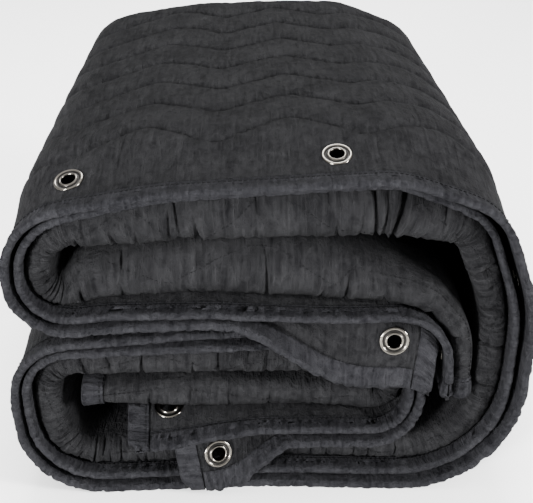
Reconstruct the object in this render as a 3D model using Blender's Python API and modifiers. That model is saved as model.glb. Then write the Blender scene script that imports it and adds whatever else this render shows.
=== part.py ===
"""A large quilted sound dampening blanket, folded in four and then back and forth round itself.

All sizes are in millimetres and become metres when a mesh is made. X is to the right, Y is away from
the front with the bound edges, Z is up. The origin is under the middle of the stack, on the floor.

The cloth is worked out as one long strip of four layers. Layer 1 is the outermost: it starts at the
first bound edge at the front, goes to the back, folds over the other three and comes forward as
layer 4, rolls round at the front into layer 3, turns at the back into layer 2 and ends at the second
bound edge. The strip follows a path in the XZ plane, and a place on the cloth is given by s, the way
along that path, and q, the way across the four layers, 0 at the first edge and 7 at the second.
"""
import math

import bmesh
import bpy
import numpy as np
from mathutils import Matrix, Quaternion, Vector
from mathutils.bvhtree import BVHTree

MM = 0.001

# Overall sizes
FRONT_Y = -250.0            # where the bound edges end
BACK_Y = 250.0              # outside of the folds at the back
BACK_GROWTH = 0.073         # the stack stands this much taller behind its thin front edges
GROWTH_REACH = 102.0        # and reaches that height this far behind the front
BACK_RISE = 0.04            # towards the back it gets this much taller again,
BACK_LEAN = 0.03            # leans, with its left side this much taller and its right side this much lower,
BACK_DRAW = 28.0            # and comes in this much at each side
DRAW_SPAN = 100.0           # which its middle takes up, this far to each side
HALF_WIDTH = 236.0
SHIFT = (-0.931, 5.960, -0.308)  # brings the floor under the middle of the stack to the origin

# The cloth
CLOTH_THICK = 9.0           # quilted batting
BAND_THICK = 5.0            # where it is pressed thin along an edge
EDGE_THICK = 3.6            # inside the binding
BAND_WIDTH = 60.0           # of the band that holds the eyelets
PRESS_REACH = 9.0           # from the binding to where the band has its own thickness
THIN_FROM = 46.0            # from an edge to where the batting starts
THIN_REACH = 95.0           # and to where it is full
END_SHIFT = 14.0            # the batting starts this much nearer to the short ends
LAYER_GAP = 2.0
FRONT_GAP = 2.5             # between the second edge and the roll
EDGE_LIFT = 1.8             # the thin edge stays this far off the surface below it
LIFT_FROM = 48.0            # from the edge to where that lift starts to go
LIFT_REACH = 42.0           # and how far it takes
SETTLE_FROM = 25.0          # behind the front, the squeezed layers start to spread evenly
SETTLE_REACH = 140.0        # and are even this much further back
CUT_GAP = 0.4               # between the panel and its bands

# Binding tape
TAPE_LEG = 17.5
TAPE_SPAN = 18.0            # the cloth keeps its thin edge this far in
TAPE_THICK = 0.9
TAPE_GAP = 0.4
TAPE_NOSE = 1.4             # from the cloth's edge to the outside of the tape
TAPE_BUTT = 0.5             # between a long tape and the short one that it runs up to

# Quilting
QUILT_PITCH = 58.0          # between lines, across the blanket
QUILT_PERIOD = 140.0        # of one wave, along it
QUILT_SWING = 15.0          # to each side of the line's middle
QUILT_DEPTH = 3.0
QUILT_FIRST = 88.0          # from the first edge to the middle of the first line
QUILT_CREST_AT = 20.0       # a crest of the wave stands at this x on the top of the stack
QUILT_CORNER = 0.1          # share of the third harmonic, which sharpens the wave's corners
QUILT_FADE = 60.0           # the quilting goes flat over this much of the strip under the stack
FLAT_UNTIL = 30.0           # and stands out again from this far along the bottom's left

# Eyelets
EYELET_COUNT = 11
EYELET_INSET = 43.0         # from the long edge to the centre of an eyelet between the corners
EYELET_DRIFT = 24.0         # the middle ones sit this much further along than evenly spaced
EYELET_HOLE = 12.7
EYELET_WIDTH = 27.0
EYELET_BARREL = 15.0
EYELET_LIP = 1.1            # height of a flange
EYELET_SEAT = 0.3           # gap between a flange and the cloth
EYELET_SIDES = 10
EYELET_RIM = 0.45           # thickness of a flange at its rim
EYELET_FEEL = 8.0           # how far off its centre a flange's seat is looked for
CLOTH_HOLE = 15.8
CUTTER_DEPTH = 24.0

# The path of the strip's outer face at the front, from the end on the right, one row for each turn.
# columns: name, x, z, corner radius, height of the four layers, second edge's distance from the
# first, and how far forward the first edge, the second edge and the roll reach
PATH = (
    ("first end",           151, 104,   0, 35,  9,   0,   0,  -6),
    ("down over the edge",  149, 178,  34, 37, 10,   0,  -2,  -8),
    ("upper middle",         60, 176, 300, 69, 10,   0,  -2, -12),
    ("upper middle, left",  -60, 181, 300, 67, 10,  -2,  -4, -14),
    ("into the left turn", -150, 178,  60, 60, 11,  -2,  -6, -14),
    ("left turn, below",   -235, 162,  56, 38, 12,  -3,  -6, -12),
    ("left turn, above",   -232, 288,  64, 44, 12,  -3,  -8, -12),
    ("top, left",           -96, 313, 300, 64, 11,   0, -14, -14),
    ("top, right",          112, 324,  90, 74, 11,   0, -16, -16),
    ("right turn, above",   203, 292,  62, 52, 14,   0, -12, -14),
    ("right side",          238, 192, 150, 45, 15,   0,  -6, -14),
    ("right side, low",     234, 110, 100, 43, 14,  -2,  -6, -14),
    ("right turn, below",   220,   0, 118, 45, 15,  -4,  -8, -14),
    ("bottom",                0,   0, 300, 50, 15, -16, -18, -28),
    ("bottom, left",       -232,   0,  80, 45, 13,  -8, -10, -15),
    ("lower left turn",    -238, 163,  55, 42, 10,  -4,  -6, -12),
    ("lower middle",        -70, 168, 300, 47, 10, -14,  -8, -14),
    ("lower middle, right",  60, 160, 200, 45, 10, -36, -26, -22),
    ("lower right turn",    144, 156,  50, 40, 12, -30, -18, -20),
    ("under right turn",    144,  54,  50, 41, 11,   0,  -4, -18),
    ("inner strip",          60,  57, 200, 53, 19,   3,   7, -18),
    ("second end",         -172,  55,   0, 58, 25,  -4,  10, -14),
)

# Where an edge hangs down in front near an end of the blanket.
# columns: edge, end, how far along the flap has its full angle, where the angle is gone, angle, and
# the length from the edge to the knee
FLAPS = (
    ("first",  "start", 104.0, 250.0, 82.0, 67.0),
    ("first",  "finish", 112.0, 195.0, 78.0, 60.0),
    ("second", "finish", 40.0, 180.0, 22.0, 66.0),
)
# The eyelets at the corners.
# columns: edge, end, distance from the long edge, distance from the end
CORNERS = (
    ("first",  "start",  42.0, 43.0),
    ("first",  "finish", 33.0, 37.0),
    ("second", "start",  35.0, 32.0),
    ("second", "finish", 43.0, 35.0),
)
KNEE_AT = 66.0              # from the edge, where it lies flat
KNEE_LENGTH = 22.0          # the cloth that the knee's bend takes

# How far each edge stops short of the strip's own end, because the outer layers take the longer way.
# columns: end, first edge, second edge
SLIDES = (
    ("start",  63.0,  0.0),
    ("finish", 92.0, 44.0),
)
SLIDE_FADE = 210.0

# Places across the cloth, as q: a whole number is where a layer starts or ends.
LAYER_LENGTH = 500.0        # of cloth in one layer, so 0.1 of q in a layer is 50 mm
LAYER_ROWS = (0.2, 0.28, 0.36, 0.44, 0.52, 0.76)
BACK_FOLD_ROWS = (1.0, 1.25, 1.5, 1.75, 2.0)
ROLL_ROWS = (3.0, 3.17, 3.33, 3.5, 3.67, 3.83)
LAST_ROWS = (4.0, 4.12, 4.36, 5.0, 5.25, 5.5, 5.75, 6.0, 6.64, 6.8)
ROLL_SWING = 0.09           # of the quilting line in the front roll

# Rows of points along and across the cloth
PLAIN_STEP = 95.0
SHOWN_STEP = 48.0
SHOWN_START = 250.0         # of s, after the strip's start, shows at the front
SHOWN_FINISH = 300.0        # and this much before its end
TURN_STEP = 26.0            # degrees
FLAP_STEP = 16.0            # degrees that an edge's flap turns
END_ROWS = (TAPE_SPAN, 31.0, 52.0)
END_FADE = 100.0            # beyond these the columns go back to even steps of s
COLUMN_GAP = 20.0           # least room between these and the next column
PATH_STEP = 2.0
CORNER_GAP = 15.0           # least way along the path from one corner to the next
CORNER_SEARCH = 190         # steps of the path that are searched for the next corner
ARC_POINTS = 24
PATH_SMOOTH = 8.0
STEP_SMOOTH = 12.0
FIELD_SMOOTH = 26.0


def smooth_step(t):
    """Rise softly from 0 to 1 while t does."""
    t = np.clip(t, 0.0, 1.0)
    return t * t * (3.0 - 2.0 * t)


def blur(values, width, step):
    """Smooth a row of samples, keeping its two ends where they are."""
    half = int(3 * width / step)
    kernel = np.exp(-0.5 * (np.arange(-half, half + 1) * step / width) ** 2)
    kernel /= kernel.sum()
    before = 2 * values[0] - values[half:0:-1]
    after = 2 * values[-1] - values[-2:-half - 2:-1]
    return np.convolve(np.concatenate((before, values, after)), kernel, mode="valid")


def rounded_path(corners, radii):
    """The line through the corners with each one rounded by an arc."""
    before = corners[:-2] - corners[1:-1]
    after = corners[2:] - corners[1:-1]
    legs = np.linalg.norm(np.diff(corners, axis=0), axis=1)
    a = before / legs[:-1, None]
    b = after / legs[1:, None]
    half_angle = 0.5 * np.arccos(np.clip((a * b).sum(axis=1), -1.0, 1.0))
    reach = np.concatenate(([0.0], radii / np.tan(half_angle), [0.0]))
    for i in range(len(legs)):
        share = min(1.0, 0.96 * legs[i] / max(reach[i] + reach[i + 1], 1e-6))
        reach[i], reach[i + 1] = reach[i] * share, reach[i + 1] * share
    line = [corners[:1]]
    for i, corner in enumerate(corners[1:-1]):
        if math.pi - 2.0 * half_angle[i] < 0.02:
            line.append(corner[None, :])
            continue
        radius = reach[i + 1] * math.tan(half_angle[i])
        bisector = (a[i] + b[i]) / np.linalg.norm(a[i] + b[i])
        middle = corner + bisector * radius / math.sin(half_angle[i])
        start = corner + a[i] * reach[i + 1] - middle
        side = -1.0 if a[i][0] * b[i][1] - a[i][1] * b[i][0] > 0 else 1.0
        turned = np.linspace(0.0, math.pi - 2.0 * half_angle[i], ARC_POINTS)
        angles = math.atan2(start[1], start[0]) + side * turned
        line.append(middle + radius * np.column_stack((np.cos(angles), np.sin(angles))))
    line.append(corners[-1:])
    return np.concatenate(line)


class Strip:
    """The path of the four layers and the sizes that vary along it."""

    def __init__(self):
        corners = np.array([(row[1], row[2]) for row in PATH], float)
        line = rounded_path(corners, np.array([row[3] for row in PATH[1:-1]], float))
        way = np.concatenate(([0.0], np.cumsum(np.hypot(*np.diff(line, axis=0).T))))
        count = int(way[-1] / PATH_STEP)
        even = np.linspace(0.0, way[-1], count)
        x = blur(np.interp(even, way, line[:, 0]), PATH_SMOOTH, PATH_STEP)
        z = blur(np.interp(even, way, line[:, 1]), PATH_SMOOTH, PATH_STEP)
        self.s = np.concatenate(([0.0], np.cumsum(np.hypot(np.diff(x), np.diff(z)))))
        self.length = float(self.s[-1])
        self.x, self.z = x, z
        dx, dz = np.gradient(x, self.s), np.gradient(z, self.s)
        size = np.hypot(dx, dz)
        self.inward = np.column_stack((dz / size, -dx / size))
        self.heading = np.unwrap(np.arctan2(dz, dx))
        self.corner_s = [0.0]
        for corner in corners[1:-1]:
            start = np.searchsorted(self.s, self.corner_s[-1] + CORNER_GAP)
            search = slice(start, start + CORNER_SEARCH)
            gap = np.hypot(x[search] - corner[0], z[search] - corner[1])
            self.corner_s.append(float(self.s[start + int(np.argmin(gap))]))
        self.corner_s.append(self.length)
        names = ("height", "second_edge", "first_out", "second_out", "roll_out")
        self.fields = {}
        for column, name in enumerate(names, start=4):
            raw = np.interp(self.s, self.corner_s, [row[column] for row in PATH])
            self.fields[name] = blur(raw, FIELD_SMOOTH, PATH_STEP)

    def field(self, name, s):
        """One of the varying sizes at s."""
        return np.interp(s, self.s, self.fields[name])

    def row_s(self, name):
        """The s of a named row of the path."""
        return self.corner_s[[row[0] for row in PATH].index(name)]

    def place(self, s, depth):
        """Turn s and a depth under the outer face into x and z."""
        inside = np.clip(s, 0.0, self.length)
        beyond = s - inside
        nx = np.interp(inside, self.s, self.inward[:, 0])
        nz = np.interp(inside, self.s, self.inward[:, 1])
        size = np.hypot(nx, nz)
        nx, nz = nx / size, nz / size
        x = np.interp(inside, self.s, self.x) + nx * depth - nz * beyond
        z = np.interp(inside, self.s, self.z) + nz * depth + nx * beyond
        return x, z


STRIP = Strip()


def flap(edge, s):
    """How far, in radians, an edge is turned down at s, and its length from the edge to the knee."""
    angle, length = np.full_like(s, 1e-4), np.full_like(s, KNEE_AT)
    for name, end, full, gone, degrees, reach in FLAPS:
        if name == edge:
            from_end = s if end == "start" else STRIP.length - s
            share = 1.0 - smooth_step((from_end - full) / (gone - full))
            angle = angle + math.radians(degrees) * share
            length = length + (reach - KNEE_AT) * share
    return angle, length


def creep(q, end):
    """How far the cloth at q stops short of one end of the strip."""
    first, second = next(row[1:] for row in SLIDES if row[0] == end)
    return first * np.clip(1.0 - q, 0.0, 1.0) + second * np.clip(q - 6.0, 0.0, 1.0)


def slide(q, s):
    """How far the cloth at q has moved along the strip from its place s."""
    from_start = np.exp(-np.maximum(s, 0.0) / SLIDE_FADE)
    from_finish = np.exp(-np.maximum(STRIP.length - s, 0.0) / SLIDE_FADE)
    return creep(q, "start") * from_start - creep(q, "finish") * from_finish


def end_stretch(q, end):
    """Real millimetres for each one of s, beside an end of the blanket."""
    return 1.0 - creep(q, end) / SLIDE_FADE


def from_ends(q, column):
    """The s of a column at q, so that the columns beside an end keep their real distance from it."""
    before, after = np.maximum(column, 0.0), np.maximum(STRIP.length - column, 0.0)
    first = (1.0 / end_stretch(q, "start") - 1.0) * (1.0 - smooth_step((before - END_ROWS[1]) / END_FADE))
    last = (1.0 / end_stretch(q, "finish") - 1.0) * (1.0 - smooth_step((after - END_ROWS[1]) / END_FADE))
    return column + before * first - after * last


def pressed(distance, full, shift=0.0):
    """Thickness at a distance from an edge: thin in the binding, pressed beside it, then full."""
    thin = EDGE_THICK + (BAND_THICK - EDGE_THICK) * smooth_step((distance - TAPE_SPAN) / PRESS_REACH)
    rise = smooth_step((distance + shift - THIN_FROM) / (THIN_REACH - THIN_FROM))
    return thin + (np.maximum(full, thin) - thin) * rise


def thickness(q, s):
    """The cloth's thickness at a place."""
    q, s = np.broadcast_arrays(np.asarray(q, float), np.asarray(s, float))
    height = STRIP.field("height", s + slide(q, s))
    full = np.minimum(CLOTH_THICK, 0.25 * (height - 3.0 * LAYER_GAP))
    from_edge = np.minimum(q, 7.0 - q) * LAYER_LENGTH
    from_end = np.minimum(s * end_stretch(q, "start"), (STRIP.length - s) * end_stretch(q, "finish"))
    return np.minimum(pressed(from_edge, full), pressed(from_end, full, END_SHIFT))


def edge_run(edge, s, from_edge, back_y):
    """Y of layer 1 or 2 at a distance from its edge, and how far its flap hangs below the layer."""
    angle, length = flap(edge, s)
    radius = KNEE_LENGTH / angle
    reach = radius * np.sin(angle) + (length - KNEE_LENGTH) * np.cos(angle)
    knee_y = FRONT_Y - STRIP.field(edge + "_out", s) + reach
    past = length - from_edge
    turned = angle * np.clip(past / KNEE_LENGTH, 0.0, 1.0)
    straight = np.maximum(past - KNEE_LENGTH, 0.0)
    forward = radius * np.sin(turned) + straight * np.cos(angle)
    drop = radius * (1.0 - np.cos(turned)) + straight * np.sin(angle)
    behind = np.maximum(-past, 0.0) / (LAYER_LENGTH - length)
    return knee_y - forward + behind * (back_y - knee_y), drop


def layer_levels(y, s):
    """Depths of the outer faces of layers 2 and 3: level at the back, squeezed up at the front."""
    height, second = STRIP.field("height", s), STRIP.field("second_edge", s)
    full = np.minimum(CLOTH_THICK, 0.25 * (height - 3.0 * LAYER_GAP))
    settled = smooth_step((y - FRONT_Y - SETTLE_FROM) / SETTLE_REACH)
    second_level = second + settled * ((height - full) / 3.0 - second)
    second_thick = pressed(y - FRONT_Y + STRIP.field("second_out", s), full)
    gap = FRONT_GAP + settled * ((height - 4.0 * full) / 3.0 - FRONT_GAP)
    return second_level, second_level + second_thick + gap


def cross_section(q, s):
    """Depth under the strip's outer face, y, and hang of the cloth's middle at q across the layers."""
    height = STRIP.field("height", s)
    full = np.minimum(CLOTH_THICK, 0.25 * (height - 3.0 * LAYER_GAP))
    middle = 0.5 * height
    back_y = BACK_Y - middle
    outer_r, inner_r = 0.5 * (height - full), (height - full) / 6.0
    nose_y = FRONT_Y - STRIP.field("roll_out", s)
    roll_y = nose_y + 0.5 * (height - STRIP.field("second_edge", s) - BAND_THICK - FRONT_GAP)
    third_front = layer_levels(roll_y, s)[1]
    roll_r = 0.5 * (height - third_front - full)
    turn = math.pi * np.mod(q, 1.0)

    first_y, first_drop = edge_run("first", s, q * LAYER_LENGTH, back_y)
    second_y, second_drop = edge_run("second", s, (7.0 - q) * LAYER_LENGTH, back_y)
    third_y = roll_y + (q - 4.0) * (back_y - roll_y)
    lift = EDGE_LIFT * (1.0 - smooth_step((q * LAYER_LENGTH - LIFT_FROM) / LIFT_REACH))
    first_thick = pressed(q * LAYER_LENGTH, full)
    second_thick = pressed((7.0 - q) * LAYER_LENGTH, full)
    runs = (
        (q <= 1.0, lift + 0.5 * first_thick, first_y),
        (q < 2.0, middle - outer_r * np.cos(turn), back_y + outer_r * np.sin(turn)),
        (q <= 3.0, height - 0.5 * full, back_y + (q - 2.0) * (roll_y - back_y)),
        (q < 4.0, height - 0.5 * full - roll_r * (1.0 - np.cos(turn)), roll_y - roll_r * np.sin(turn)),
        (q <= 5.0, layer_levels(third_y, s)[1] + 0.5 * full, third_y),
        (q < 6.0, middle + inner_r * np.cos(turn), back_y + inner_r * np.sin(turn)),
        (q >= 6.0, layer_levels(second_y, s)[0] + 0.5 * second_thick, second_y),
    )
    where = [run[0] for run in runs]
    hang = np.where(q <= 1.0, first_drop, 0.0) + np.where(q >= 6.0, second_drop, 0.0)
    return np.select(where, [run[1] for run in runs]), np.select(where, [run[2] for run in runs]), hang


def middle_surface(q, s):
    """A point on the cloth's middle surface."""
    moved = s + slide(q, s)
    depth, y, hang = cross_section(q, moved)
    x, z = STRIP.place(moved, depth)
    deep = (y - FRONT_Y) / (BACK_Y - FRONT_Y)
    grown = 1.0 + BACK_GROWTH * smooth_step((y - FRONT_Y) / GROWTH_REACH)
    grown += (BACK_RISE - BACK_LEAN * x / HALF_WIDTH) * deep
    drawn = x - BACK_DRAW * deep * np.clip(x / DRAW_SPAN, -1.0, 1.0)
    return np.stack((drawn, y, (z - hang) * grown), axis=-1) + SHIFT


def cloth_normal(q, s):
    """The direction out of the face that is outermost on the folded stack."""
    along = middle_surface(q, s + 1.0) - middle_surface(q, s - 1.0)
    across = middle_surface(np.minimum(q + 0.004, 7.0), s) - middle_surface(np.maximum(q - 0.004, 0.0), s)
    normal = np.cross(along, across)
    return normal / np.linalg.norm(normal, axis=-1, keepdims=True)


def cloth_point(q, s, offset):
    """A point at an offset from the middle surface, positive on the outermost face."""
    q, s, offset = (np.array(v, float) for v in np.broadcast_arrays(q, s, offset))
    return middle_surface(q, s) + cloth_normal(q, s) * offset[..., None]


def quilt_wave(s):
    """The quilting line's swing at s, from -1 to 1."""
    top = (STRIP.s > STRIP.row_s("left turn, above")) & (STRIP.s < STRIP.row_s("right turn, above"))
    crest = np.interp(QUILT_CREST_AT, STRIP.x[top], STRIP.s[top])
    phase = 2.0 * math.pi * (s + slide(np.full_like(s, 0.5), s) - crest) / QUILT_PERIOD
    return np.cos(phase) + QUILT_CORNER * np.cos(3.0 * phase)


def quilt_share(s):
    """1 where the quilting stands out, 0 where the stack's weight presses it flat."""
    low = smooth_step((s - STRIP.row_s("right side, low") - QUILT_FADE) / QUILT_FADE)
    high = smooth_step((s - STRIP.row_s("bottom, left") - FLAT_UNTIL) / QUILT_FADE)
    return 1.0 - low + high


def columns():
    """Places along the strip for the cross-sections, closer together in turns and where they show."""
    s = STRIP.s
    shown = (s < STRIP.row_s("right side, low")) | (s > STRIP.length - SHOWN_FINISH)
    shown &= (s > STRIP.row_s("left turn, below")) | (s < SHOWN_START)
    step = np.where(shown, SHOWN_STEP, PLAIN_STEP)
    bend = np.abs(np.gradient(STRIP.heading, s)) / math.radians(TURN_STEP)
    turned = flap("first", s)[0] + flap("second", s)[0]
    bend = np.maximum(bend, np.abs(np.gradient(turned, s)) / math.radians(FLAP_STEP))
    density = blur(np.maximum(1.0 / step, bend), STEP_SMOOTH, PATH_STEP)
    need = np.concatenate(([0.0], np.cumsum(np.diff(s) * density[1:])))
    first = END_ROWS[-1] + COLUMN_GAP
    last = STRIP.length - first
    count = int(round(np.interp(last, s, need) - np.interp(first, s, need)))
    inner = np.interp(np.linspace(np.interp(first, s, need), np.interp(last, s, need), count), need, s)
    ends = np.array((0.0,) + END_ROWS)
    return np.concatenate((ends, inner, STRIP.length - ends[::-1]))


class Row:
    """One line of points along the strip: its place across the layers, on one face of the cloth."""

    def __init__(self, q, swing=0.0, dip=0.0):
        self.q, self.swing, self.dip = q, swing, dip

    def places(self, column):
        """The row's q and s at the columns."""
        q = self.q + self.swing * quilt_wave(column)
        return q, from_ends(q, column)

    def points(self, column, face):
        """The row's points on a face of the cloth, which is 1 or -1."""
        q, s = self.places(column)
        thick = thickness(q, s)
        full = smooth_step((thick - BAND_THICK) / (0.9 * CLOTH_THICK - BAND_THICK))
        offset = 0.5 * thick - self.dip * full * quilt_share(s)
        return cloth_point(q, s, face * offset), q

    def skin(self, column, offset):
        """Points at an even offset from the cloth's middle."""
        q, s = self.places(column)
        return cloth_point(q, s, offset)


def mesh_object(name, bm, material):
    """Make a named object of a bmesh in millimetres."""
    bmesh.ops.recalc_face_normals(bm, faces=bm.faces)
    bmesh.ops.scale(bm, vec=(MM, MM, MM), verts=bm.verts)
    mesh = bpy.data.meshes.new(name)
    bm.to_mesh(mesh)
    bm.free()
    mesh.materials.append(material)
    mesh.shade_smooth()
    mesh.set_sharp_from_angle(angle=math.radians(40.0))
    thing = bpy.data.objects.new(name, mesh)
    bpy.data.collections[COLLECTION].objects.link(thing)
    return thing


def strip_faces(bm, upper, lower):
    """Two triangles for each step along two rows of vertices."""
    for j in range(len(upper) - 1):
        bm.faces.new((upper[j], upper[j + 1], lower[j + 1]))
        bm.faces.new((upper[j], lower[j + 1], lower[j]))


def loft(bm, outer, inner):
    """Join rows of points into a skin: over the outer face and back under the inner one.

    Each pair of rows is a strip of triangles, cut the same way on both faces so that they keep
    the cloth's thickness where it twists.
    """
    tops = [[bm.verts.new(point) for point in row] for row in outer]
    unders = [[bm.verts.new(point) for point in row] for row in inner]
    for face in (tops, unders):
        for upper, lower in zip(face, face[1:]):
            strip_faces(bm, upper, lower)
    for top, under in ((tops[0], unders[0]), (tops[-1], unders[-1])):
        strip_faces(bm, top, under)
    return tops, unders


def zip_end(bm, one, one_q, other, other_q):
    """Close an end between two rows of vertices, each sorted by its q."""
    i = j = 0
    while i < len(one) - 1 or j < len(other) - 1:
        step_one = j == len(other) - 1 or (i < len(one) - 1 and one_q[i + 1] <= other_q[j + 1])
        if step_one:
            bm.faces.new((one[i], one[i + 1], other[j]))
            i += 1
        else:
            bm.faces.new((one[i], other[j + 1], other[j]))
            j += 1


def slab(name, outer_rows, inner_rows, material):
    """A piece of the folded cloth between its first and its last row, from end to end."""
    s = COLUMNS
    outer = [row.points(s, 1.0) for row in outer_rows]
    inner = [row.points(s, -1.0) for row in inner_rows]
    bm = bmesh.new()
    tops, unders = loft(bm, [points for points, _ in outer], [points for points, _ in inner])
    for column in (0, -1):
        zip_end(bm, [row[column] for row in tops], [q[column] for _, q in outer],
                [row[column] for row in unders], [q[column] for _, q in inner])
    return mesh_object(name, bm, material)


def principled(name, colour, roughness, metallic=0.0):
    """A plain material."""
    material = bpy.data.materials.new(name)
    material.use_nodes = True
    shader = material.node_tree.nodes["Principled BSDF"]
    shader.inputs["Base Color"].default_value = (*colour, 1.0)
    shader.inputs["Roughness"].default_value = roughness
    shader.inputs["Metallic"].default_value = metallic
    material.diffuse_color = (*colour, 1.0)
    return material


def panel_rows():
    """Rows across the panel: outer face with its quilting, then inner face."""
    start = (BAND_WIDTH + CUT_GAP) / LAYER_LENGTH
    swing = QUILT_SWING / LAYER_LENGTH
    outer = [Row(start)]
    line = QUILT_FIRST
    while line < LAYER_LENGTH - 0.5 * QUILT_PITCH:
        outer.append(Row(line / LAYER_LENGTH, swing, QUILT_DEPTH))
        outer.append(Row((line + 0.5 * QUILT_PITCH) / LAYER_LENGTH, swing))
        line += QUILT_PITCH
    outer += [Row(q) for q in BACK_FOLD_ROWS + (2.84, 3.0, 3.17, 3.33)]
    outer += [Row(3.5, ROLL_SWING, QUILT_DEPTH)]
    outer += [Row(q) for q in (3.67, 3.83) + LAST_ROWS]
    outer += [Row(7.0 - start)]
    inner = [Row(start)] + [Row(q) for q in LAYER_ROWS + BACK_FOLD_ROWS + (2.84,) + ROLL_ROWS + LAST_ROWS]
    inner += [Row(7.0 - start)]
    return outer, inner


def band_rows(second):
    """Rows across an edge band, from the edge to the panel, or the other way on the second edge."""
    marks = (0.0, TAPE_SPAN, TAPE_SPAN + PRESS_REACH, THIN_FROM, BAND_WIDTH)
    if second:
        return [Row(7.0 - mark / LAYER_LENGTH) for mark in reversed(marks)]
    return [Row(mark / LAYER_LENGTH) for mark in marks]


def beyond(first, second, distance):
    """The point at a distance from the first on the line to the second, which is TAPE_SPAN away."""
    return first + (second - first) * distance / TAPE_SPAN


def long_tape(name, edge, inner_row, forward):
    """Binding over a long edge, a channel along all columns between the two short tapes."""
    inside, outside = 0.5 * EDGE_THICK + TAPE_GAP, 0.5 * EDGE_THICK + TAPE_GAP + TAPE_THICK
    trim = TAPE_BUTT / (END_ROWS[1] - END_ROWS[0])
    bm = bmesh.new()
    noses, legs = [], []
    for offset, start in ((inside, TAPE_GAP), (outside, TAPE_NOSE), (-outside, TAPE_NOSE), (-inside, TAPE_GAP)):
        at_edge, at_leg = edge.skin(COLUMNS, offset), inner_row.skin(COLUMNS, offset)
        for rows, distance in ((noses, -start), (legs, TAPE_LEG)):
            line = beyond(at_edge, at_leg, distance)[1:-1]
            line[0] += (line[1] - line[0]) * trim
            line[-1] += (line[-2] - line[-1]) * trim
            rows.append([bm.verts.new(point) for point in line])
    pairs = [(noses[i], legs[i]) for i in range(4)]
    pairs += [(noses[0], noses[3]), (noses[1], noses[2]), (legs[0], legs[1]), (legs[3], legs[2])]
    for one, other in pairs:
        strip_faces(bm, *((one, other) if forward else (other, one)))
    for end in (0, -1):
        nose, leg = [row[end] for row in noses], [row[end] for row in legs]
        bm.faces.new((leg[0], nose[0], nose[1], leg[1]))
        bm.faces.new((nose[0], nose[3], nose[2], nose[1]))
        bm.faces.new((leg[3], nose[3], nose[2], leg[2]))
    return mesh_object(name, bm, TAPE)


def short_tape(name, outer_rows, inner_rows, columns_in):
    """Binding over a short end, closed round the two corners.

    The two columns given are the end itself and the one at TAPE_SPAN.
    """
    at_start = columns_in[0] < columns_in[1]
    inside, outside = 0.5 * EDGE_THICK + TAPE_GAP, 0.5 * EDGE_THICK + TAPE_GAP + TAPE_THICK
    bm = bmesh.new()
    rims, noses = {}, {}
    for side, rows in ((1.0, outer_rows), (-1.0, inner_rows)):
        for offset, start in ((inside, TAPE_GAP), (outside, TAPE_NOSE)):
            lines = np.stack([row.skin(columns_in, side * offset) for row in rows])
            lines[0] = beyond(lines[0], lines[1], -start)
            lines[-1] = beyond(lines[-1], lines[-2], -start)
            at_end, at_leg = lines[:, 0], lines[:, 1]
            rims[side, offset] = [bm.verts.new(point) for point in beyond(at_end, at_leg, TAPE_LEG)]
            noses[side, offset] = [bm.verts.new(point) for point in beyond(at_end, at_leg, -start)]
            pair = (noses[side, offset], rims[side, offset])
            strip_faces(bm, *(pair if at_start else pair[::-1]))
        strip_faces(bm, rims[side, inside], rims[side, outside])
    outer_q = [float(row.places(columns_in[:1])[0][0]) for row in outer_rows]
    inner_q = [float(row.places(columns_in[:1])[0][0]) for row in inner_rows]
    for offset in (inside, outside):
        zip_end(bm, noses[1.0, offset], outer_q, noses[-1.0, offset], inner_q)
        for end in (0, -1):
            bm.faces.new((rims[1.0, offset][end], noses[1.0, offset][end],
                          noses[-1.0, offset][end], rims[-1.0, offset][end]))
    for end in (0, -1):
        bm.faces.new((rims[1.0, inside][end], rims[1.0, outside][end],
                      rims[-1.0, outside][end], rims[-1.0, inside][end]))
    return mesh_object(name, bm, TAPE)


def eyelet_places():
    """Row and s of each eyelet: along the first edge from corner to corner, then the second's corners."""
    corners = {(edge, end): (inset / LAYER_LENGTH, from_end) for edge, end, inset, from_end in CORNERS}
    first_q, first_inset = corners["first", "start"]
    last_q, last_inset = corners["first", "finish"]
    q = EYELET_INSET / LAYER_LENGTH
    s = np.arange(0.0, STRIP.length, 2.0)
    line = middle_surface(np.full_like(s, q), s)
    way = np.concatenate(([0.0], np.cumsum(np.linalg.norm(np.diff(line, axis=0), axis=1))))
    share = np.linspace(0.0, 1.0, EYELET_COUNT)
    marks = first_inset + share * (way[-1] - first_inset - last_inset) + EYELET_DRIFT * np.sin(math.pi * share)
    places = [(q, float(at)) for at in np.interp(marks, way, s)]
    places[0] = (first_q, places[0][1])
    places[-1] = (last_q, places[-1][1])
    for end in ("start", "finish"):
        inset, from_end = corners["second", end]
        along = from_end / float(end_stretch(7.0 - inset, end))
        places.append((7.0 - inset, along if end == "start" else STRIP.length - along))
    return places


def eyelet_seat(tree, centre, axis):
    """How far the cloth reaches to each side of the centre, under an eyelet's flange."""
    across = axis.orthogonal().normalized()
    reach = [0.0, 0.0]
    for turn in range(16):
        out = across.copy()
        out.rotate(Quaternion(axis, 2.0 * math.pi * turn / 16))
        for radius in (0.5 * CLOTH_HOLE, 0.35 * CLOTH_HOLE + 0.15 * EYELET_WIDTH, 0.5 * EYELET_WIDTH):
            for side, sign in enumerate((1.0, -1.0)):
                start = centre + (out * radius + axis * sign * EYELET_FEEL) * MM
                hit = tree.ray_cast(start, -axis * sign, 2.0 * EYELET_FEEL * MM)[0]
                if hit is not None:
                    reach[side] = max(reach[side], (hit - centre).dot(axis) * sign / MM)
    return reach


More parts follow.
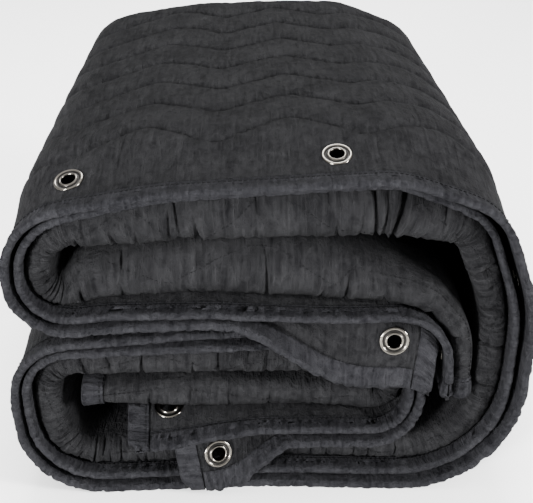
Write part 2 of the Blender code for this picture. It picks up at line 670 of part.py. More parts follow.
def eyelet(name, centre, axis, reach):
    """A nickel eyelet: a barrel through the cloth with a domed flange on each face."""
    bore = 0.5 * EYELET_HOLE / math.cos(math.pi / EYELET_SIDES)
    top, bottom = reach[0] + EYELET_SEAT, -reach[1] - EYELET_SEAT
    profile = (
        (bore, top + EYELET_LIP),
        (0.5 * EYELET_WIDTH, top + EYELET_RIM),
        (0.5 * EYELET_WIDTH, top),
        (0.5 * EYELET_BARREL, top),
        (0.5 * EYELET_BARREL, bottom),
        (0.5 * EYELET_WIDTH, bottom),
        (0.5 * EYELET_WIDTH, bottom - EYELET_RIM),
        (bore, bottom - EYELET_LIP),
    )
    bm = bmesh.new()
    ring = [bm.verts.new((x * MM, 0.0, z * MM)) for x, z in profile]
    for one, other in zip(ring, ring[1:] + ring[:1]):
        bm.edges.new((one, other))
    mesh = bpy.data.meshes.new(name)
    bm.to_mesh(mesh)
    bm.free()
    mesh.materials.append(NICKEL)
    thing = bpy.data.objects.new(name, mesh)
    bpy.data.collections[COLLECTION].objects.link(thing)
    turned = thing.modifiers.new("turned", "SCREW")
    turned.angle = 2.0 * math.pi
    turned.steps = EYELET_SIDES
    turned.render_steps = EYELET_SIDES
    turned.use_merge_vertices = True
    turned.merge_threshold = 0.00001
    turned.use_normal_calculate = True
    thing.matrix_world = frame_at(centre, axis)
    return thing


def frame_at(centre, axis):
    """A matrix that stands local Z along the axis."""
    return Matrix.Translation(centre) @ axis.to_track_quat("Z", "Y").to_matrix().to_4x4()


def cut_hole(band, name, centre, axis):
    """Cut an eyelet's hole through a band."""
    bm = bmesh.new()
    bmesh.ops.create_cone(bm, cap_ends=True, segments=EYELET_SIDES, radius1=0.5 * CLOTH_HOLE * MM,
                          radius2=0.5 * CLOTH_HOLE * MM, depth=CUTTER_DEPTH * MM)
    bmesh.ops.rotate(bm, verts=bm.verts, matrix=Matrix.Rotation(-math.pi / 2.0, 3, "Z"))
    mesh = bpy.data.meshes.new(name)
    bm.to_mesh(mesh)
    bm.free()
    cutter = bpy.data.objects.new(name, mesh)
    bpy.data.collections["cutters"].objects.link(cutter)
    cutter.matrix_world = frame_at(centre, axis)
    cutter.hide_render = True
    cutter.display_type = "WIRE"
    hole = band.modifiers.new(name, "BOOLEAN")
    hole.operation = "DIFFERENCE"
    hole.solver = "EXACT"
    hole.object = cutter


def main():
    """Build the whole blanket."""
    outer, inner = panel_rows()
    first, second = band_rows(False), band_rows(True)
    slab("quilted_panel", outer, inner, CLOTH)
    bands = (slab("eyelet_band", first, first, CLOTH), slab("second_edge_band", second, second, CLOTH))
    long_tape("binding_long_1", first[0], first[1], True)
    long_tape("binding_long_2", second[-1], second[-2], False)
    outer_all, inner_all = first + outer[1:-1] + second, first + inner[1:-1] + second
    short_tape("binding_end_1", outer_all, inner_all, COLUMNS[:2])
    short_tape("binding_end_2", outer_all, inner_all, COLUMNS[:-3:-1])
    trees = [BVHTree.FromPolygons([v.co for v in band.data.vertices], [p.vertices for p in band.data.polygons])
             for band in bands]
    for number, (q, s) in enumerate(eyelet_places(), start=1):
        side = 0 if q < 1.0 else 1
        centre = Vector(middle_surface(np.array(q), np.array(s))) * MM
        axis = Vector(cloth_normal(np.array(q), np.array(s)))
        reach = eyelet_seat(trees[side], centre, axis)
        eyelet(f"eyelet_{number:02d}", centre, axis, reach)
        cut_hole(bands[side], f"hole_{number:02d}", centre, axis)


for old in list(bpy.data.objects):
    bpy.data.objects.remove(old, do_unlink=True)
COLLECTION = "sound_dampening_blanket"
for group in (COLLECTION, "cutters"):
    bpy.context.scene.collection.children.link(bpy.data.collections.new(group))
COLUMNS = columns()
CLOTH = principled("black quilted cloth", (0.02, 0.021, 0.024), 0.9)
TAPE = principled("black binding tape", (0.017, 0.018, 0.02), 0.85)
NICKEL = principled("nickel plate", (0.75, 0.74, 0.72), 0.25, 1.0)
main()
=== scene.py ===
"""The looks of a folded sound dampening blanket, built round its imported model.

Sizes are in millimetres until a mesh is finished, and then in metres. X is to the right, Y is away from the
front with the bound edges, Z is up. A place on the cloth is given as in the model: s is the way along the
folded strip, and q the way across its four layers, 0 at the first bound edge and 7 at the second.
"""
import logging
import math
from collections.abc import Callable
from dataclasses import dataclass, field
from enum import Enum
from functools import partial

import bmesh
import bpy
import numpy as np
from mathutils import Matrix, Vector


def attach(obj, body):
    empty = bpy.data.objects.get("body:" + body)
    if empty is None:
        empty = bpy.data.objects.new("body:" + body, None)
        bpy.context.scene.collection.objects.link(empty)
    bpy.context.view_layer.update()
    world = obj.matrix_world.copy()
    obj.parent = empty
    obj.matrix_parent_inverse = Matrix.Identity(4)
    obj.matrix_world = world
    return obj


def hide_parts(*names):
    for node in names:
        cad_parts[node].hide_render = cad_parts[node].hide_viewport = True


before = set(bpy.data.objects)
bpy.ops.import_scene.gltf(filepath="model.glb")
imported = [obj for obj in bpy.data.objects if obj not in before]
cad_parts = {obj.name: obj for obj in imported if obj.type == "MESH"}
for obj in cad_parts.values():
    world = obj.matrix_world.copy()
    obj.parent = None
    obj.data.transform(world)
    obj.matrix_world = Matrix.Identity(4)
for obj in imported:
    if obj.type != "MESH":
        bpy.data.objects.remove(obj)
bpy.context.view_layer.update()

MM = 0.001
LOG = logging.getLogger("blanket")


class Edge(Enum):
    """The two long edges of the blanket."""

    FIRST = "first"
    SECOND = "second"


class End(Enum):
    """The two ends of the folded strip."""

    START = "start"
    FINISH = "finish"


def link(name: str, mesh: bpy.types.Mesh) -> bpy.types.Object:
    """Put a finished mesh into the scene.

    Args:
        name: The piece's name.
        mesh: Its mesh, in metres and in place.

    Returns:
        The piece.
    """
    thing = bpy.data.objects.new(name, mesh)
    bpy.context.scene.collection.objects.link(thing)
    return thing


def as_mesh(bm: bmesh.types.BMesh, name: str) -> bpy.types.Mesh:
    """Turn a bmesh into a mesh and free it.

    Args:
        bm: The bmesh.
        name: The mesh's name.

    Returns:
        The mesh.
    """
    mesh = bpy.data.meshes.new(name)
    bm.to_mesh(mesh)
    bm.free()
    return mesh


def flat_places(mesh: bpy.types.Mesh) -> np.ndarray:
    """Read where the vertices of a flat mesh lie.

    Args:
        mesh: The mesh, laid out flat.

    Returns:
        A row for each vertex.
    """
    flat = np.empty(len(mesh.vertices) * 3)
    mesh.vertices.foreach_get("co", flat)
    return flat.reshape(-1, 3)


def fold_mesh(mesh: bpy.types.Mesh, points: np.ndarray, flat: np.ndarray) -> None:
    """Move a flat mesh's vertices to their folded places, and keep the flat ones as its UV map.

    Args:
        mesh: The mesh.
        points: The folded place of each vertex, in millimetres.
        flat: The place of each on the flat piece, in millimetres.
    """
    mesh.vertices.foreach_set("co", (points * MM).ravel())
    layer = mesh.uv_layers.new(name="flat_cloth")
    corners = np.empty(len(mesh.loops), int)
    mesh.loops.foreach_get("vertex_index", corners)
    layer.data.foreach_set("uv", (flat[corners] * MM).ravel())


@dataclass(frozen=True)
class Turn:
    """A corner of the strip's path: where its outer face turns and how the layers stand there."""

    name: str
    x: float
    z: float
    radius: float
    height: float
    second_edge: float
    first_out: float
    second_out: float
    roll_out: float


TURNS = (
    Turn("first end", 151, 104, 0, 35, 9, 0, 0, -6),
    Turn("down over the edge", 149, 178, 34, 37, 10, 0, -2, -8),
    Turn("upper middle", 60, 176, 300, 69, 10, 0, -2, -12),
    Turn("upper middle, left", -60, 181, 300, 67, 10, -2, -4, -14),
    Turn("into the left turn", -150, 178, 60, 60, 11, -2, -6, -14),
    Turn("left turn, below", -235, 162, 56, 38, 12, -3, -6, -12),
    Turn("left turn, above", -232, 288, 64, 44, 12, -3, -8, -12),
    Turn("top, left", -96, 313, 300, 64, 11, 0, -14, -14),
    Turn("top, right", 112, 324, 90, 74, 11, 0, -16, -16),
    Turn("right turn, above", 203, 292, 62, 52, 14, 0, -12, -14),
    Turn("right side", 238, 192, 150, 45, 15, 0, -6, -14),
    Turn("right side, low", 234, 110, 100, 43, 14, -2, -6, -14),
    Turn("right turn, below", 220, 0, 118, 45, 15, -4, -8, -14),
    Turn("bottom", 0, 0, 300, 50, 15, -16, -18, -28),
    Turn("bottom, left", -232, 0, 80, 45, 13, -8, -10, -15),
    Turn("lower left turn", -238, 163, 55, 42, 10, -4, -6, -12),
    Turn("lower middle", -70, 168, 300, 47, 10, -14, -8, -14),
    Turn("lower middle, right", 60, 160, 200, 45, 10, -36, -26, -22),
    Turn("lower right turn", 144, 156, 50, 40, 12, -30, -18, -20),
    Turn("under right turn", 144, 54, 50, 41, 11, 0, -4, -18),
    Turn("inner strip", 60, 57, 200, 53, 19, 3, 7, -18),
    Turn("second end", -172, 55, 0, 58, 25, -4, 10, -14),
)


@dataclass(frozen=True)
class Flap:
    """Where an edge hangs down in front near an end of the blanket."""

    edge: Edge
    end: End
    full: float
    gone: float
    degrees: float
    length: float


FLAPS = (
    Flap(Edge.FIRST, End.START, 104.0, 250.0, 82.0, 67.0),
    Flap(Edge.FIRST, End.FINISH, 112.0, 195.0, 78.0, 60.0),
    Flap(Edge.SECOND, End.FINISH, 40.0, 180.0, 22.0, 66.0),
)

CORNERS = {
    (Edge.FIRST, End.START): (42.0, 43.0),
    (Edge.FIRST, End.FINISH): (33.0, 37.0),
    (Edge.SECOND, End.START): (35.0, 32.0),
    (Edge.SECOND, End.FINISH): (43.0, 35.0),
}


@dataclass(frozen=True)
class Crease:
    """One crease placed across the layers: a soft trough, or a ridge where its depth is below 0.

    It starts at first_q, this far along the strip past a named turn, and leans while it runs to last_q.
    """

    turn: str
    along: float
    first_q: float
    last_q: float
    lean: float
    depth: float
    width: float


def creases_past(turn: str, *rows: tuple[float, ...]) -> tuple[Crease, ...]:
    """Creases placed from one turn, each row with its along, first_q, last_q, lean, depth and width."""
    return tuple(Crease(turn, *row) for row in rows)


CREASES = (
    # top roll, from its left turn to the sharp fold on the right
    *creases_past(
        "top, left",
        (-86, 3.02, 3.36, 2, 3.4, 2.6), (-48, 3.05, 3.55, -4, 4.6, 2.6), (-33, 3.14, 3.52, 3, 3.2, 2.6),
        (1, 3.28, 3.74, 3, 3.0, 2.8), (13, 3.40, 3.98, -5, 5.0, 3.4), (29, 3.03, 3.56, -2, 5.2, 3.0),
        (36, 3.03, 3.20, 2, 3.0, 2.4), (67, 3.03, 3.24, 2, 2.2, 2.4), (82, 3.62, 4.00, -2, 3.4, 3.4),
        (132, 3.04, 3.22, -2, 2.2, 2.2), (143, 3.56, 3.98, 2, 2.6, 4.0), (154, 3.04, 3.42, -2, 4.0, 2.6)
    ),
    *creases_past(
        "top, right",
        (-34, 3.16, 3.56, 3, 2.6, 3.2), (-18, 3.08, 4.02, -1, 7.0, 3.8), (-2, 3.22, 3.78, -2, 3.6, 3.0),
        (16, 2.95, 4.04, 6, 13.0, 5.5), (44, 3.06, 3.40, 2, 3.2, 2.8), (58, 3.52, 3.92, -3, 3.4, 3.2),
        (82, 3.08, 3.50, 3, 3.4, 3.0)
    ),
    *creases_past(
        "right side",
        (-44, 3.00, 3.94, -4, 6.5, 4.6), (-20, 3.05, 3.50, 2, 3.0, 2.8), (-3, 3.05, 3.70, 3, 3.4, 2.8),
        (20, 3.10, 3.80, -3, 3.4, 3.0), (42, 3.05, 3.90, 4, 4.2, 3.2), (60, 3.10, 3.60, -3, 3.6, 3.0)
    ),
    *creases_past(
        "right side, low",
        (4, 3.05, 3.80, 3, 4.2, 3.4)
    ),
    # upper middle roll, from the end on the right to the left turn
    *creases_past(
        "first end",
        (12, 3.10, 3.60, 2, 2.8, 2.8), (28, 3.30, 3.90, -2, 3.0, 2.8), (48, 3.25, 3.95, 4, 4.8, 3.2)
    ),
    *creases_past(
        "down over the edge",
        (2, 3.52, 4.00, 4, 6.0, 3.4), (39, 3.68, 3.98, -3, 4.0, 2.8), (70, 3.34, 4.00, 4, 5.2, 3.2)
    ),
    *creases_past(
        "upper middle",
        (14, 3.72, 3.94, 1, 2.4, 2.4), (67, 3.18, 4.00, -3, 5.4, 2.8)
    ),
    *creases_past(
        "upper middle, left",
        (13, 3.70, 3.96, 1, 3.0, 2.4), (40, 3.80, 4.00, -3, 3.4, 2.4), (55, 3.82, 4.00, -3, 3.2, 2.4),
        (70, 3.04, 3.34, 0, 4.2, 2.8), (71, 3.54, 3.82, -1, 3.4, 2.6)
    ),
    *creases_past(
        "into the left turn",
        (4, 3.34, 3.62, 1, 2.6, 2.8), (12, 3.44, 4.00, 3, 5.0, 3.0)
    ),
    # rays round the left turns
    *creases_past(
        "left turn, below",
        (-26, 3.05, 3.80, 2, 3.4, 2.4), (-15, 3.05, 3.92, 3, 3.8, 2.4), (-5, 3.05, 3.75, 2, 3.2, 2.2),
        (6, 3.05, 3.85, 1, 3.6, 2.4), (24, 3.05, 3.50, -2, 3.2, 2.4), (36, 3.05, 3.60, 2, 3.4, 2.4),
        (48, 3.05, 3.44, -2, 3.0, 2.4)
    ),
    *creases_past(
        "left turn, above",
        (-12, 3.05, 3.50, 2, 2.8, 2.6)
    ),
    *creases_past(
        "lower left turn",
        (-24, 3.05, 3.66, 2, 3.2, 2.4), (-12, 3.05, 3.56, -2, 3.2, 2.2), (2, 3.05, 3.70, 2, 3.6, 2.4),
        (14, 3.05, 3.50, 2, 3.0, 2.4)
    ),
    # lower middle roll
    *creases_past(
        "lower left turn",
        (56, 3.04, 3.94, -6, 4.6, 2.6), (62, 3.66, 3.94, 1, 3.0, 2.2), (80, 3.26, 3.98, -8, 5.0, 2.8)
    ),
    *creases_past(
        "lower middle",
        (-48, 3.10, 3.98, 1, 4.4, 2.4), (-1, 3.06, 3.60, 2, 3.0, 2.2), (26, 3.12, 3.94, -2, 4.2, 2.4),
        (52, 3.30, 3.96, 2, 2.4, 3.0), (70, 3.10, 3.90, 1, 2.2, 3.2), (104, 3.10, 3.96, -2, 2.6, 3.2)
    ),
    # inner roll
    *creases_past(
        "inner strip",
        (60, 3.10, 3.90, 2, 2.4, 3.0), (98, 3.20, 3.95, -2, 2.4, 2.8), (132, 3.06, 3.60, 2, 2.8, 2.8),
        (170, 3.30, 3.96, 3, 2.8, 2.8)
    ),
    # bottom roll and its left turn
    *creases_past(
        "bottom, left",
        (-98, 3.45, 3.92, 2, 2.8, 2.2), (-89, 3.50, 3.95, -2, 2.8, 2.2), (-74, 3.06, 3.98, 1, 4.6, 2.4),
        (-62, 3.36, 3.80, -1, 2.8, 2.2), (-54, 3.02, 3.52, 1, 4.4, 2.6), (-38, 3.05, 3.96, -4, 5.0, 2.8),
        (-22, 3.44, 3.90, 2, 2.8, 2.6), (6, 3.05, 3.96, 6, 4.2, 2.6), (20, 3.05, 3.70, 5, 3.4, 2.4),
        (34, 3.05, 3.80, 5, 3.4, 2.4)
    ),
    *creases_past(
        "bottom",
        (-124, 3.20, 3.90, 2, 3.6, 2.8), (-97, 3.10, 3.95, 1, 4.4, 2.6), (-81, 3.10, 3.90, -1, 3.8, 2.6),
        (-57, 3.30, 3.95, 1, 2.8, 2.4), (-43, 3.20, 3.80, 1, 2.8, 2.6)
    ),
    # long soft ridges on the top and on the tabs
    *creases_past(
        "top, right",
        (29, 0.09, 0.50, -10, -1.1, 3.0)
    ),
    *creases_past(
        "top, left",
        (-44, 0.06, 0.20, 5, 1.5, 3.0), (-54, 0.05, 0.24, 7, -1.2, 3.2), (-20, 0.05, 0.13, 2, 1.2, 2.6),
        (58, 0.05, 0.14, 2, 1.3, 2.8)
    ),
    *creases_past(
        "top, right",
        (-12, 0.05, 0.13, -2, 1.3, 2.6)
    ),
    *creases_past(
        "first end",
        (76, 0.035, 0.14, 1, 1.2, 2.2), (118, 0.035, 0.16, -8, -1.4, 4.0)
    ),
)


# the sewn line on the front roll, as given s and q: what shows, then the same zigzag
ROLL_SEAM = (
    (0, 3.30), (77, 3.18), (109, 3.20), (135, 3.30), (151, 3.54), (202, 3.15), (225, 3.09),
    (258, 3.28), (274, 3.41), (296, 3.56), (327, 3.36), (359, 3.10), (400, 3.45), (450, 3.20),
    (510, 3.60), (560, 3.30), (617, 3.85), (638, 3.56), (656, 3.29), (680, 3.20), (710, 3.51),
    (745, 3.91), (795, 3.42), (830, 3.25), (890, 3.75), (955, 3.30), (1030, 3.70), (1100, 3.30),
    (1180, 3.70), (1250, 3.30), (1330, 3.60), (1400, 3.30), (1470, 3.65), (1540, 3.30), (1610, 3.60),
    (1690, 3.30), (1760, 3.65), (1835, 3.35), (1900, 3.70), (1965, 3.30), (2035, 3.70), (2105, 3.35),
    (2180, 3.65), (2250, 3.35), (2320, 3.62), (2353, 3.60), (2446, 3.22), (2520, 3.50),
)


def smooth_step(t: np.ndarray) -> np.ndarray:
    """Rise softly from 0 to 1 while t does."""
    t = np.clip(t, 0.0, 1.0)
    return t * t * (3.0 - 2.0 * t)


def blur(values: np.ndarray, width: float, step: float) -> np.ndarray:
    """Smooth a row of samples, keeping its two ends where they are.

    Args:
        values: The samples.
        width: The blur's reach in millimetres.
        step: The distance between samples.

    Returns:
        As many samples, smoothed.
    """
    half = int(3 * width / step)
    kernel = np.exp(-0.5 * (np.arange(-half, half + 1) * step / width) ** 2)
    kernel /= kernel.sum()
    before = 2 * values[0] - values[half:0:-1]
    after = 2 * values[-1] - values[-2:-half - 2:-1]
    return np.convolve(np.concatenate((before, values, after)), kernel, mode="valid")


def rounded_path(corners: np.ndarray, radii: np.ndarray) -> np.ndarray:
    """Round each corner of a line by an arc.

    Args:
        corners: The line's corners.
        radii: A radius for each inner corner.

    Returns:
        The points of the rounded line.
    """
    before = corners[:-2] - corners[1:-1]
    after = corners[2:] - corners[1:-1]
    legs = np.linalg.norm(np.diff(corners, axis=0), axis=1)
    a = before / legs[:-1, None]
    b = after / legs[1:, None]
    half_angle = 0.5 * np.arccos(np.clip((a * b).sum(axis=1), -1.0, 1.0))
    reach = np.concatenate(([0.0], radii / np.tan(half_angle), [0.0]))
    for i in range(len(legs)):
        share = min(1.0, 0.96 * legs[i] / max(reach[i] + reach[i + 1], 1e-6))
        reach[i], reach[i + 1] = reach[i] * share, reach[i + 1] * share
    line = [corners[:1]]
    for i, corner in enumerate(corners[1:-1]):
        if math.pi - 2.0 * half_angle[i] < 0.02:
            line.append(corner[None, :])
            continue
        radius = reach[i + 1] * math.tan(half_angle[i])
        bisector = (a[i] + b[i]) / np.linalg.norm(a[i] + b[i])
        middle = corner + bisector * radius / math.sin(half_angle[i])
        start = corner + a[i] * reach[i + 1] - middle
        side = -1.0 if a[i][0] * b[i][1] - a[i][1] * b[i][0] > 0 else 1.0
        angles = math.atan2(start[1], start[0]) + side * np.linspace(0.0, math.pi - 2.0 * half_angle[i], 24)
        line.append(middle + radius * np.column_stack((np.cos(angles), np.sin(angles))))
    line.append(corners[-1:])
    return np.concatenate(line)


@dataclass
class Strip:
    """The path of the four folded layers at the front, and the sizes that vary along it."""

    path_step: float = 2.0
    path_smooth: float = 8.0
    field_smooth: float = 26.0
    turn_apart: float = 15.0
    turn_search: int = 190

    def __post_init__(self) -> None:
        """Work the path out from the table of turns."""
        corners = np.array([(turn.x, turn.z) for turn in TURNS], float)
        line = rounded_path(corners, np.array([turn.radius for turn in TURNS[1:-1]], float))
        way = np.concatenate(([0.0], np.cumsum(np.hypot(*np.diff(line, axis=0).T))))
        even = np.linspace(0.0, way[-1], int(way[-1] / self.path_step))
        x = blur(np.interp(even, way, line[:, 0]), self.path_smooth, self.path_step)
        z = blur(np.interp(even, way, line[:, 1]), self.path_smooth, self.path_step)
        self.s = np.concatenate(([0.0], np.cumsum(np.hypot(np.diff(x), np.diff(z)))))
        self.length = float(self.s[-1])
        self.x, self.z = x, z
        dx, dz = np.gradient(x, self.s), np.gradient(z, self.s)
        size = np.hypot(dx, dz)
        self.inward = np.column_stack((dz / size, -dx / size))
        self.heading = np.unwrap(np.arctan2(dz, dx))
        self.corner_s = [0.0]
        for corner in corners[1:-1]:
            start = np.searchsorted(self.s, self.corner_s[-1] + self.turn_apart)
            near = slice(start, start + self.turn_search)
            gap = np.hypot(x[near] - corner[0], z[near] - corner[1])
            self.corner_s.append(float(self.s[start + int(np.argmin(gap))]))
        self.corner_s.append(self.length)
        self.fields = {}
        for name in ("height", "second_edge", "first_out", "second_out", "roll_out"):
            raw = np.interp(self.s, self.corner_s, [getattr(turn, name) for turn in TURNS])
            self.fields[name] = blur(raw, self.field_smooth, self.path_step)

    def field(self, name: str, s: np.ndarray) -> np.ndarray:
        """One of the varying sizes at s."""
        return np.interp(s, self.s, self.fields[name])

    def turn_s(self, name: str) -> float:
        """The s of a named turn of the path."""
        return self.corner_s[[turn.name for turn in TURNS].index(name)]

    def place(self, s: np.ndarray, depth: np.ndarray) -> tuple[np.ndarray, np.ndarray]:
        """Turn s and a depth under the outer face into x and z.

        Args:
            s: The way along the strip.
            depth: The depth under its outer face.

        Returns:
            The x and the z.
        """
        inside = np.clip(s, 0.0, self.length)
        past = s - inside
        nx = np.interp(inside, self.s, self.inward[:, 0])
        nz = np.interp(inside, self.s, self.inward[:, 1])
        size = np.hypot(nx, nz)
        nx, nz = nx / size, nz / size
        x = np.interp(inside, self.s, self.x) + nx * depth - nz * past
        z = np.interp(inside, self.s, self.z) + nz * depth + nx * past
        return x, z


@dataclass
class Fold:
    """The folded cloth as a map from s and q to a point of its middle surface."""

    front_y: float = -250.0
    back_y: float = 250.0
    growth: float = 0.073
    growth_reach: float = 102.0
    rise: float = 0.04
    lean: float = 0.03
    draw: float = 28.0
    draw_span: float = 100.0
    half_width: float = 236.0
    shift: tuple[float, float, float] = (-0.931, 5.960, -0.308)
    cloth_thick: float = 9.0
    band_thick: float = 5.0
    edge_thick: float = 3.6
    thin_from: float = 46.0
    thin_reach: float = 95.0
    end_shift: float = 14.0
    layer_gap: float = 2.0
    front_gap: float = 2.5
    edge_lift: float = 1.8
    lift_from: float = 48.0
    lift_over: float = 42.0
    settle_from: float = 25.0
    settle_over: float = 140.0
    tape_span: float = 18.0
    tape_fade: float = 9.0
    knee_at: float = 66.0
    knee_length: float = 22.0
    slide_fade: float = 210.0
    layer_length: float = 500.0
    start_slide: tuple[float, float] = (63.0, 0.0)
    finish_slide: tuple[float, float] = (92.0, 44.0)
    strip: Strip = field(default_factory=Strip)

    def __post_init__(self) -> None:
        """Measure how far across the cloth each q is, on average along the strip."""
        q = np.linspace(0.0, 7.0, 1401)
        s = np.linspace(150.0, self.strip.length - 150.0, 40)
        points = self.middle(q[:, None], s[None, :])
        steps = np.linalg.norm(np.diff(points, axis=0), axis=2).mean(axis=1)
        self.q_marks = q
        self.across = np.concatenate(([0.0], np.cumsum(steps)))
        self.width = float(self.across[-1])

    def q_at(self, w: np.ndarray) -> np.ndarray:
        """The q at a distance w across the cloth."""
        return np.interp(w, self.across, self.q_marks)

    def w_at(self, q: np.ndarray) -> np.ndarray:
        """The distance across the cloth at q."""
        return np.interp(q, self.q_marks, self.across)

    def flap(self, edge: Edge, s: np.ndarray) -> tuple[np.ndarray, np.ndarray]:
        """How far an edge is turned down at s.

        Args:
            edge: The long edge.
            s: The way along the strip.

        Returns:
            The angle in radians, and the length from the edge to the knee.
        """
        angle, length = np.full_like(s, 1e-4), np.full_like(s, self.knee_at)
        for flap in FLAPS:
            if flap.edge is edge:
                from_end = s if flap.end is End.START else self.strip.length - s
                share = 1.0 - smooth_step((from_end - flap.full) / (flap.gone - flap.full))
                angle = angle + math.radians(flap.degrees) * share
                length = length + (flap.length - self.knee_at) * share
        return angle, length

    def creep(self, q: np.ndarray, end: End) -> np.ndarray:
        """How far the cloth at q stops short of an end of the strip."""
        first, second = self.start_slide if end is End.START else self.finish_slide
        return first * np.clip(1.0 - q, 0.0, 1.0) + second * np.clip(q - 6.0, 0.0, 1.0)

    def moved(self, q: np.ndarray, s: np.ndarray) -> np.ndarray:
        """Let the cloth creep along the strip near its ends.

        Args:
            q: The way across.
            s: The way along.

        Returns:
            The place along the strip that it has crept to.
        """
        from_start = np.exp(-np.maximum(s, 0.0) / self.slide_fade)
        from_finish = np.exp(-np.maximum(self.strip.length - s, 0.0) / self.slide_fade)
        return s + self.creep(q, End.START) * from_start - self.creep(q, End.FINISH) * from_finish

    def stretch(self, q: np.ndarray, end: End) -> np.ndarray:
        """Real millimetres for each one of s, beside an end of the blanket."""
        return 1.0 - self.creep(q, end) / self.slide_fade

    def full_thickness(self, s: np.ndarray) -> np.ndarray:
        """The thickness that the stack's height leaves for one layer."""
        return np.minimum(self.cloth_thick, 0.25 * (self.strip.field("height", s) - 3.0 * self.layer_gap))

    def pressed(self, distance: np.ndarray, full: np.ndarray, shift: float = 0.0) -> np.ndarray:
        """Thickness at a distance from an edge: thin in the binding, pressed beside it, then full.

        Args:
            distance: The distance from the edge.
            full: The thickness away from it.
            shift: How much nearer to the edge the batting starts.

        Returns:
            The thickness.
        """
        past_tape = smooth_step((distance - self.tape_span) / self.tape_fade)
        thin = self.edge_thick + (self.band_thick - self.edge_thick) * past_tape
        rise = smooth_step((distance + shift - self.thin_from) / (self.thin_reach - self.thin_from))
        return thin + (np.maximum(full, thin) - thin) * rise

    def from_end(self, q: np.ndarray, s: np.ndarray) -> np.ndarray:
        """The real distance from the nearer end of the blanket."""
        after = (self.strip.length - s) * self.stretch(q, End.FINISH)
        return np.minimum(s * self.stretch(q, End.START), after)

    def from_edge(self, q: np.ndarray) -> np.ndarray:
        """The distance from the nearer long edge."""
        return np.minimum(q, 7.0 - q) * self.layer_length

    def thickness(self, q: np.ndarray, s: np.ndarray) -> np.ndarray:
        """Find the cloth's thickness.

        Args:
            q: The way across.
            s: The way along.

        Returns:
            The thickness there.
        """
        full = self.full_thickness(self.moved(q, s))
        at_end = self.pressed(self.from_end(q, s), full, self.end_shift)
        return np.minimum(self.pressed(self.from_edge(q), full), at_end)

    def edge_run(self, edge: Edge, s: np.ndarray, from_edge: np.ndarray,
                 back_y: np.ndarray) -> tuple[np.ndarray, np.ndarray]:
        """Follow layer 1 or 2 back from its bound edge.

        Args:
            edge: The layer's edge.
            s: The way along the strip.
            from_edge: The distance from the edge.
            back_y: Where the layer ends at the back.

        Returns:
            The y there, and how far a flap hangs below the layer.
        """
        angle, length = self.flap(edge, s)
        radius = self.knee_length / angle
        reach = radius * np.sin(angle) + (length - self.knee_length) * np.cos(angle)
        knee_y = self.front_y - self.strip.field(edge.value + "_out", s) + reach
        past = length - from_edge
        turned = angle * np.clip(past / self.knee_length, 0.0, 1.0)
        straight = np.maximum(past - self.knee_length, 0.0)
        forward = radius * np.sin(turned) + straight * np.cos(angle)
        drop = radius * (1.0 - np.cos(turned)) + straight * np.sin(angle)
        behind = np.maximum(-past, 0.0) / (self.layer_length - length)
        return knee_y - forward + behind * (back_y - knee_y), drop

    def levels(self, y: np.ndarray, s: np.ndarray) -> tuple[np.ndarray, np.ndarray]:
        """Find how deep the inner layers lie.

        Args:
            y: The place from front to back.
            s: The way along the strip.

        Returns:
            The depths of the outer faces of layers 2 and 3.
        """
        height, second = self.strip.field("height", s), self.strip.field("second_edge", s)
        full = self.full_thickness(s)
        settled = smooth_step((y - self.front_y - self.settle_from) / self.settle_over)
        second_level = second + settled * ((height - full) / 3.0 - second)
        second_thick = self.pressed(y - self.front_y + self.strip.field("second_out", s), full)
        gap = self.front_gap + settled * ((height - 4.0 * full) / 3.0 - self.front_gap)
        return second_level, second_level + second_thick + gap

    def section(self, q: np.ndarray, s: np.ndarray) -> tuple[np.ndarray, np.ndarray, np.ndarray]:
        """Follow the cloth across its layers.

        Args:
            q: The way across.
            s: The way along the strip, after creep.

        Returns:
            The depth under the strip's outer face, the y, and how far a flap hangs.
        """
        height, full = self.strip.field("height", s), self.full_thickness(s)
        middle = 0.5 * height
        back_y = self.back_y - middle
        outer_r, inner_r = 0.5 * (height - full), (height - full) / 6.0
        nose_y = self.front_y - self.strip.field("roll_out", s)
        second_edge = self.strip.field("second_edge", s)
        roll_y = nose_y + 0.5 * (height - second_edge - self.band_thick - self.front_gap)
        roll_r = 0.5 * (height - self.levels(roll_y, s)[1] - full)
        turn = math.pi * np.mod(q, 1.0)
        first_y, first_drop = self.edge_run(Edge.FIRST, s, q * self.layer_length, back_y)
        second_y, second_drop = self.edge_run(Edge.SECOND, s, (7.0 - q) * self.layer_length, back_y)
        third_y = roll_y + (q - 4.0) * (back_y - roll_y)
        lift = self.edge_lift * (1.0 - smooth_step((q * self.layer_length - self.lift_from) / self.lift_over))
        first_thick = self.pressed(q * self.layer_length, full)
        second_thick = self.pressed((7.0 - q) * self.layer_length, full)
        runs = (
            (q <= 1.0, lift + 0.5 * first_thick, first_y),
            (q < 2.0, middle - outer_r * np.cos(turn), back_y + outer_r * np.sin(turn)),
            (q <= 3.0, height - 0.5 * full, back_y + (q - 2.0) * (roll_y - back_y)),
            (q < 4.0, height - 0.5 * full - roll_r * (1.0 - np.cos(turn)), roll_y - roll_r * np.sin(turn)),
            (q <= 5.0, self.levels(third_y, s)[1] + 0.5 * full, third_y),
            (q < 6.0, middle + inner_r * np.cos(turn), back_y + inner_r * np.sin(turn)),
            (q >= 6.0, self.levels(second_y, s)[0] + 0.5 * second_thick, second_y),
        )
        where = [run[0] for run in runs]
        hang = np.where(q <= 1.0, first_drop, 0.0) + np.where(q >= 6.0, second_drop, 0.0)
        return np.select(where, [run[1] for run in runs]), np.select(where, [run[2] for run in runs]), hang

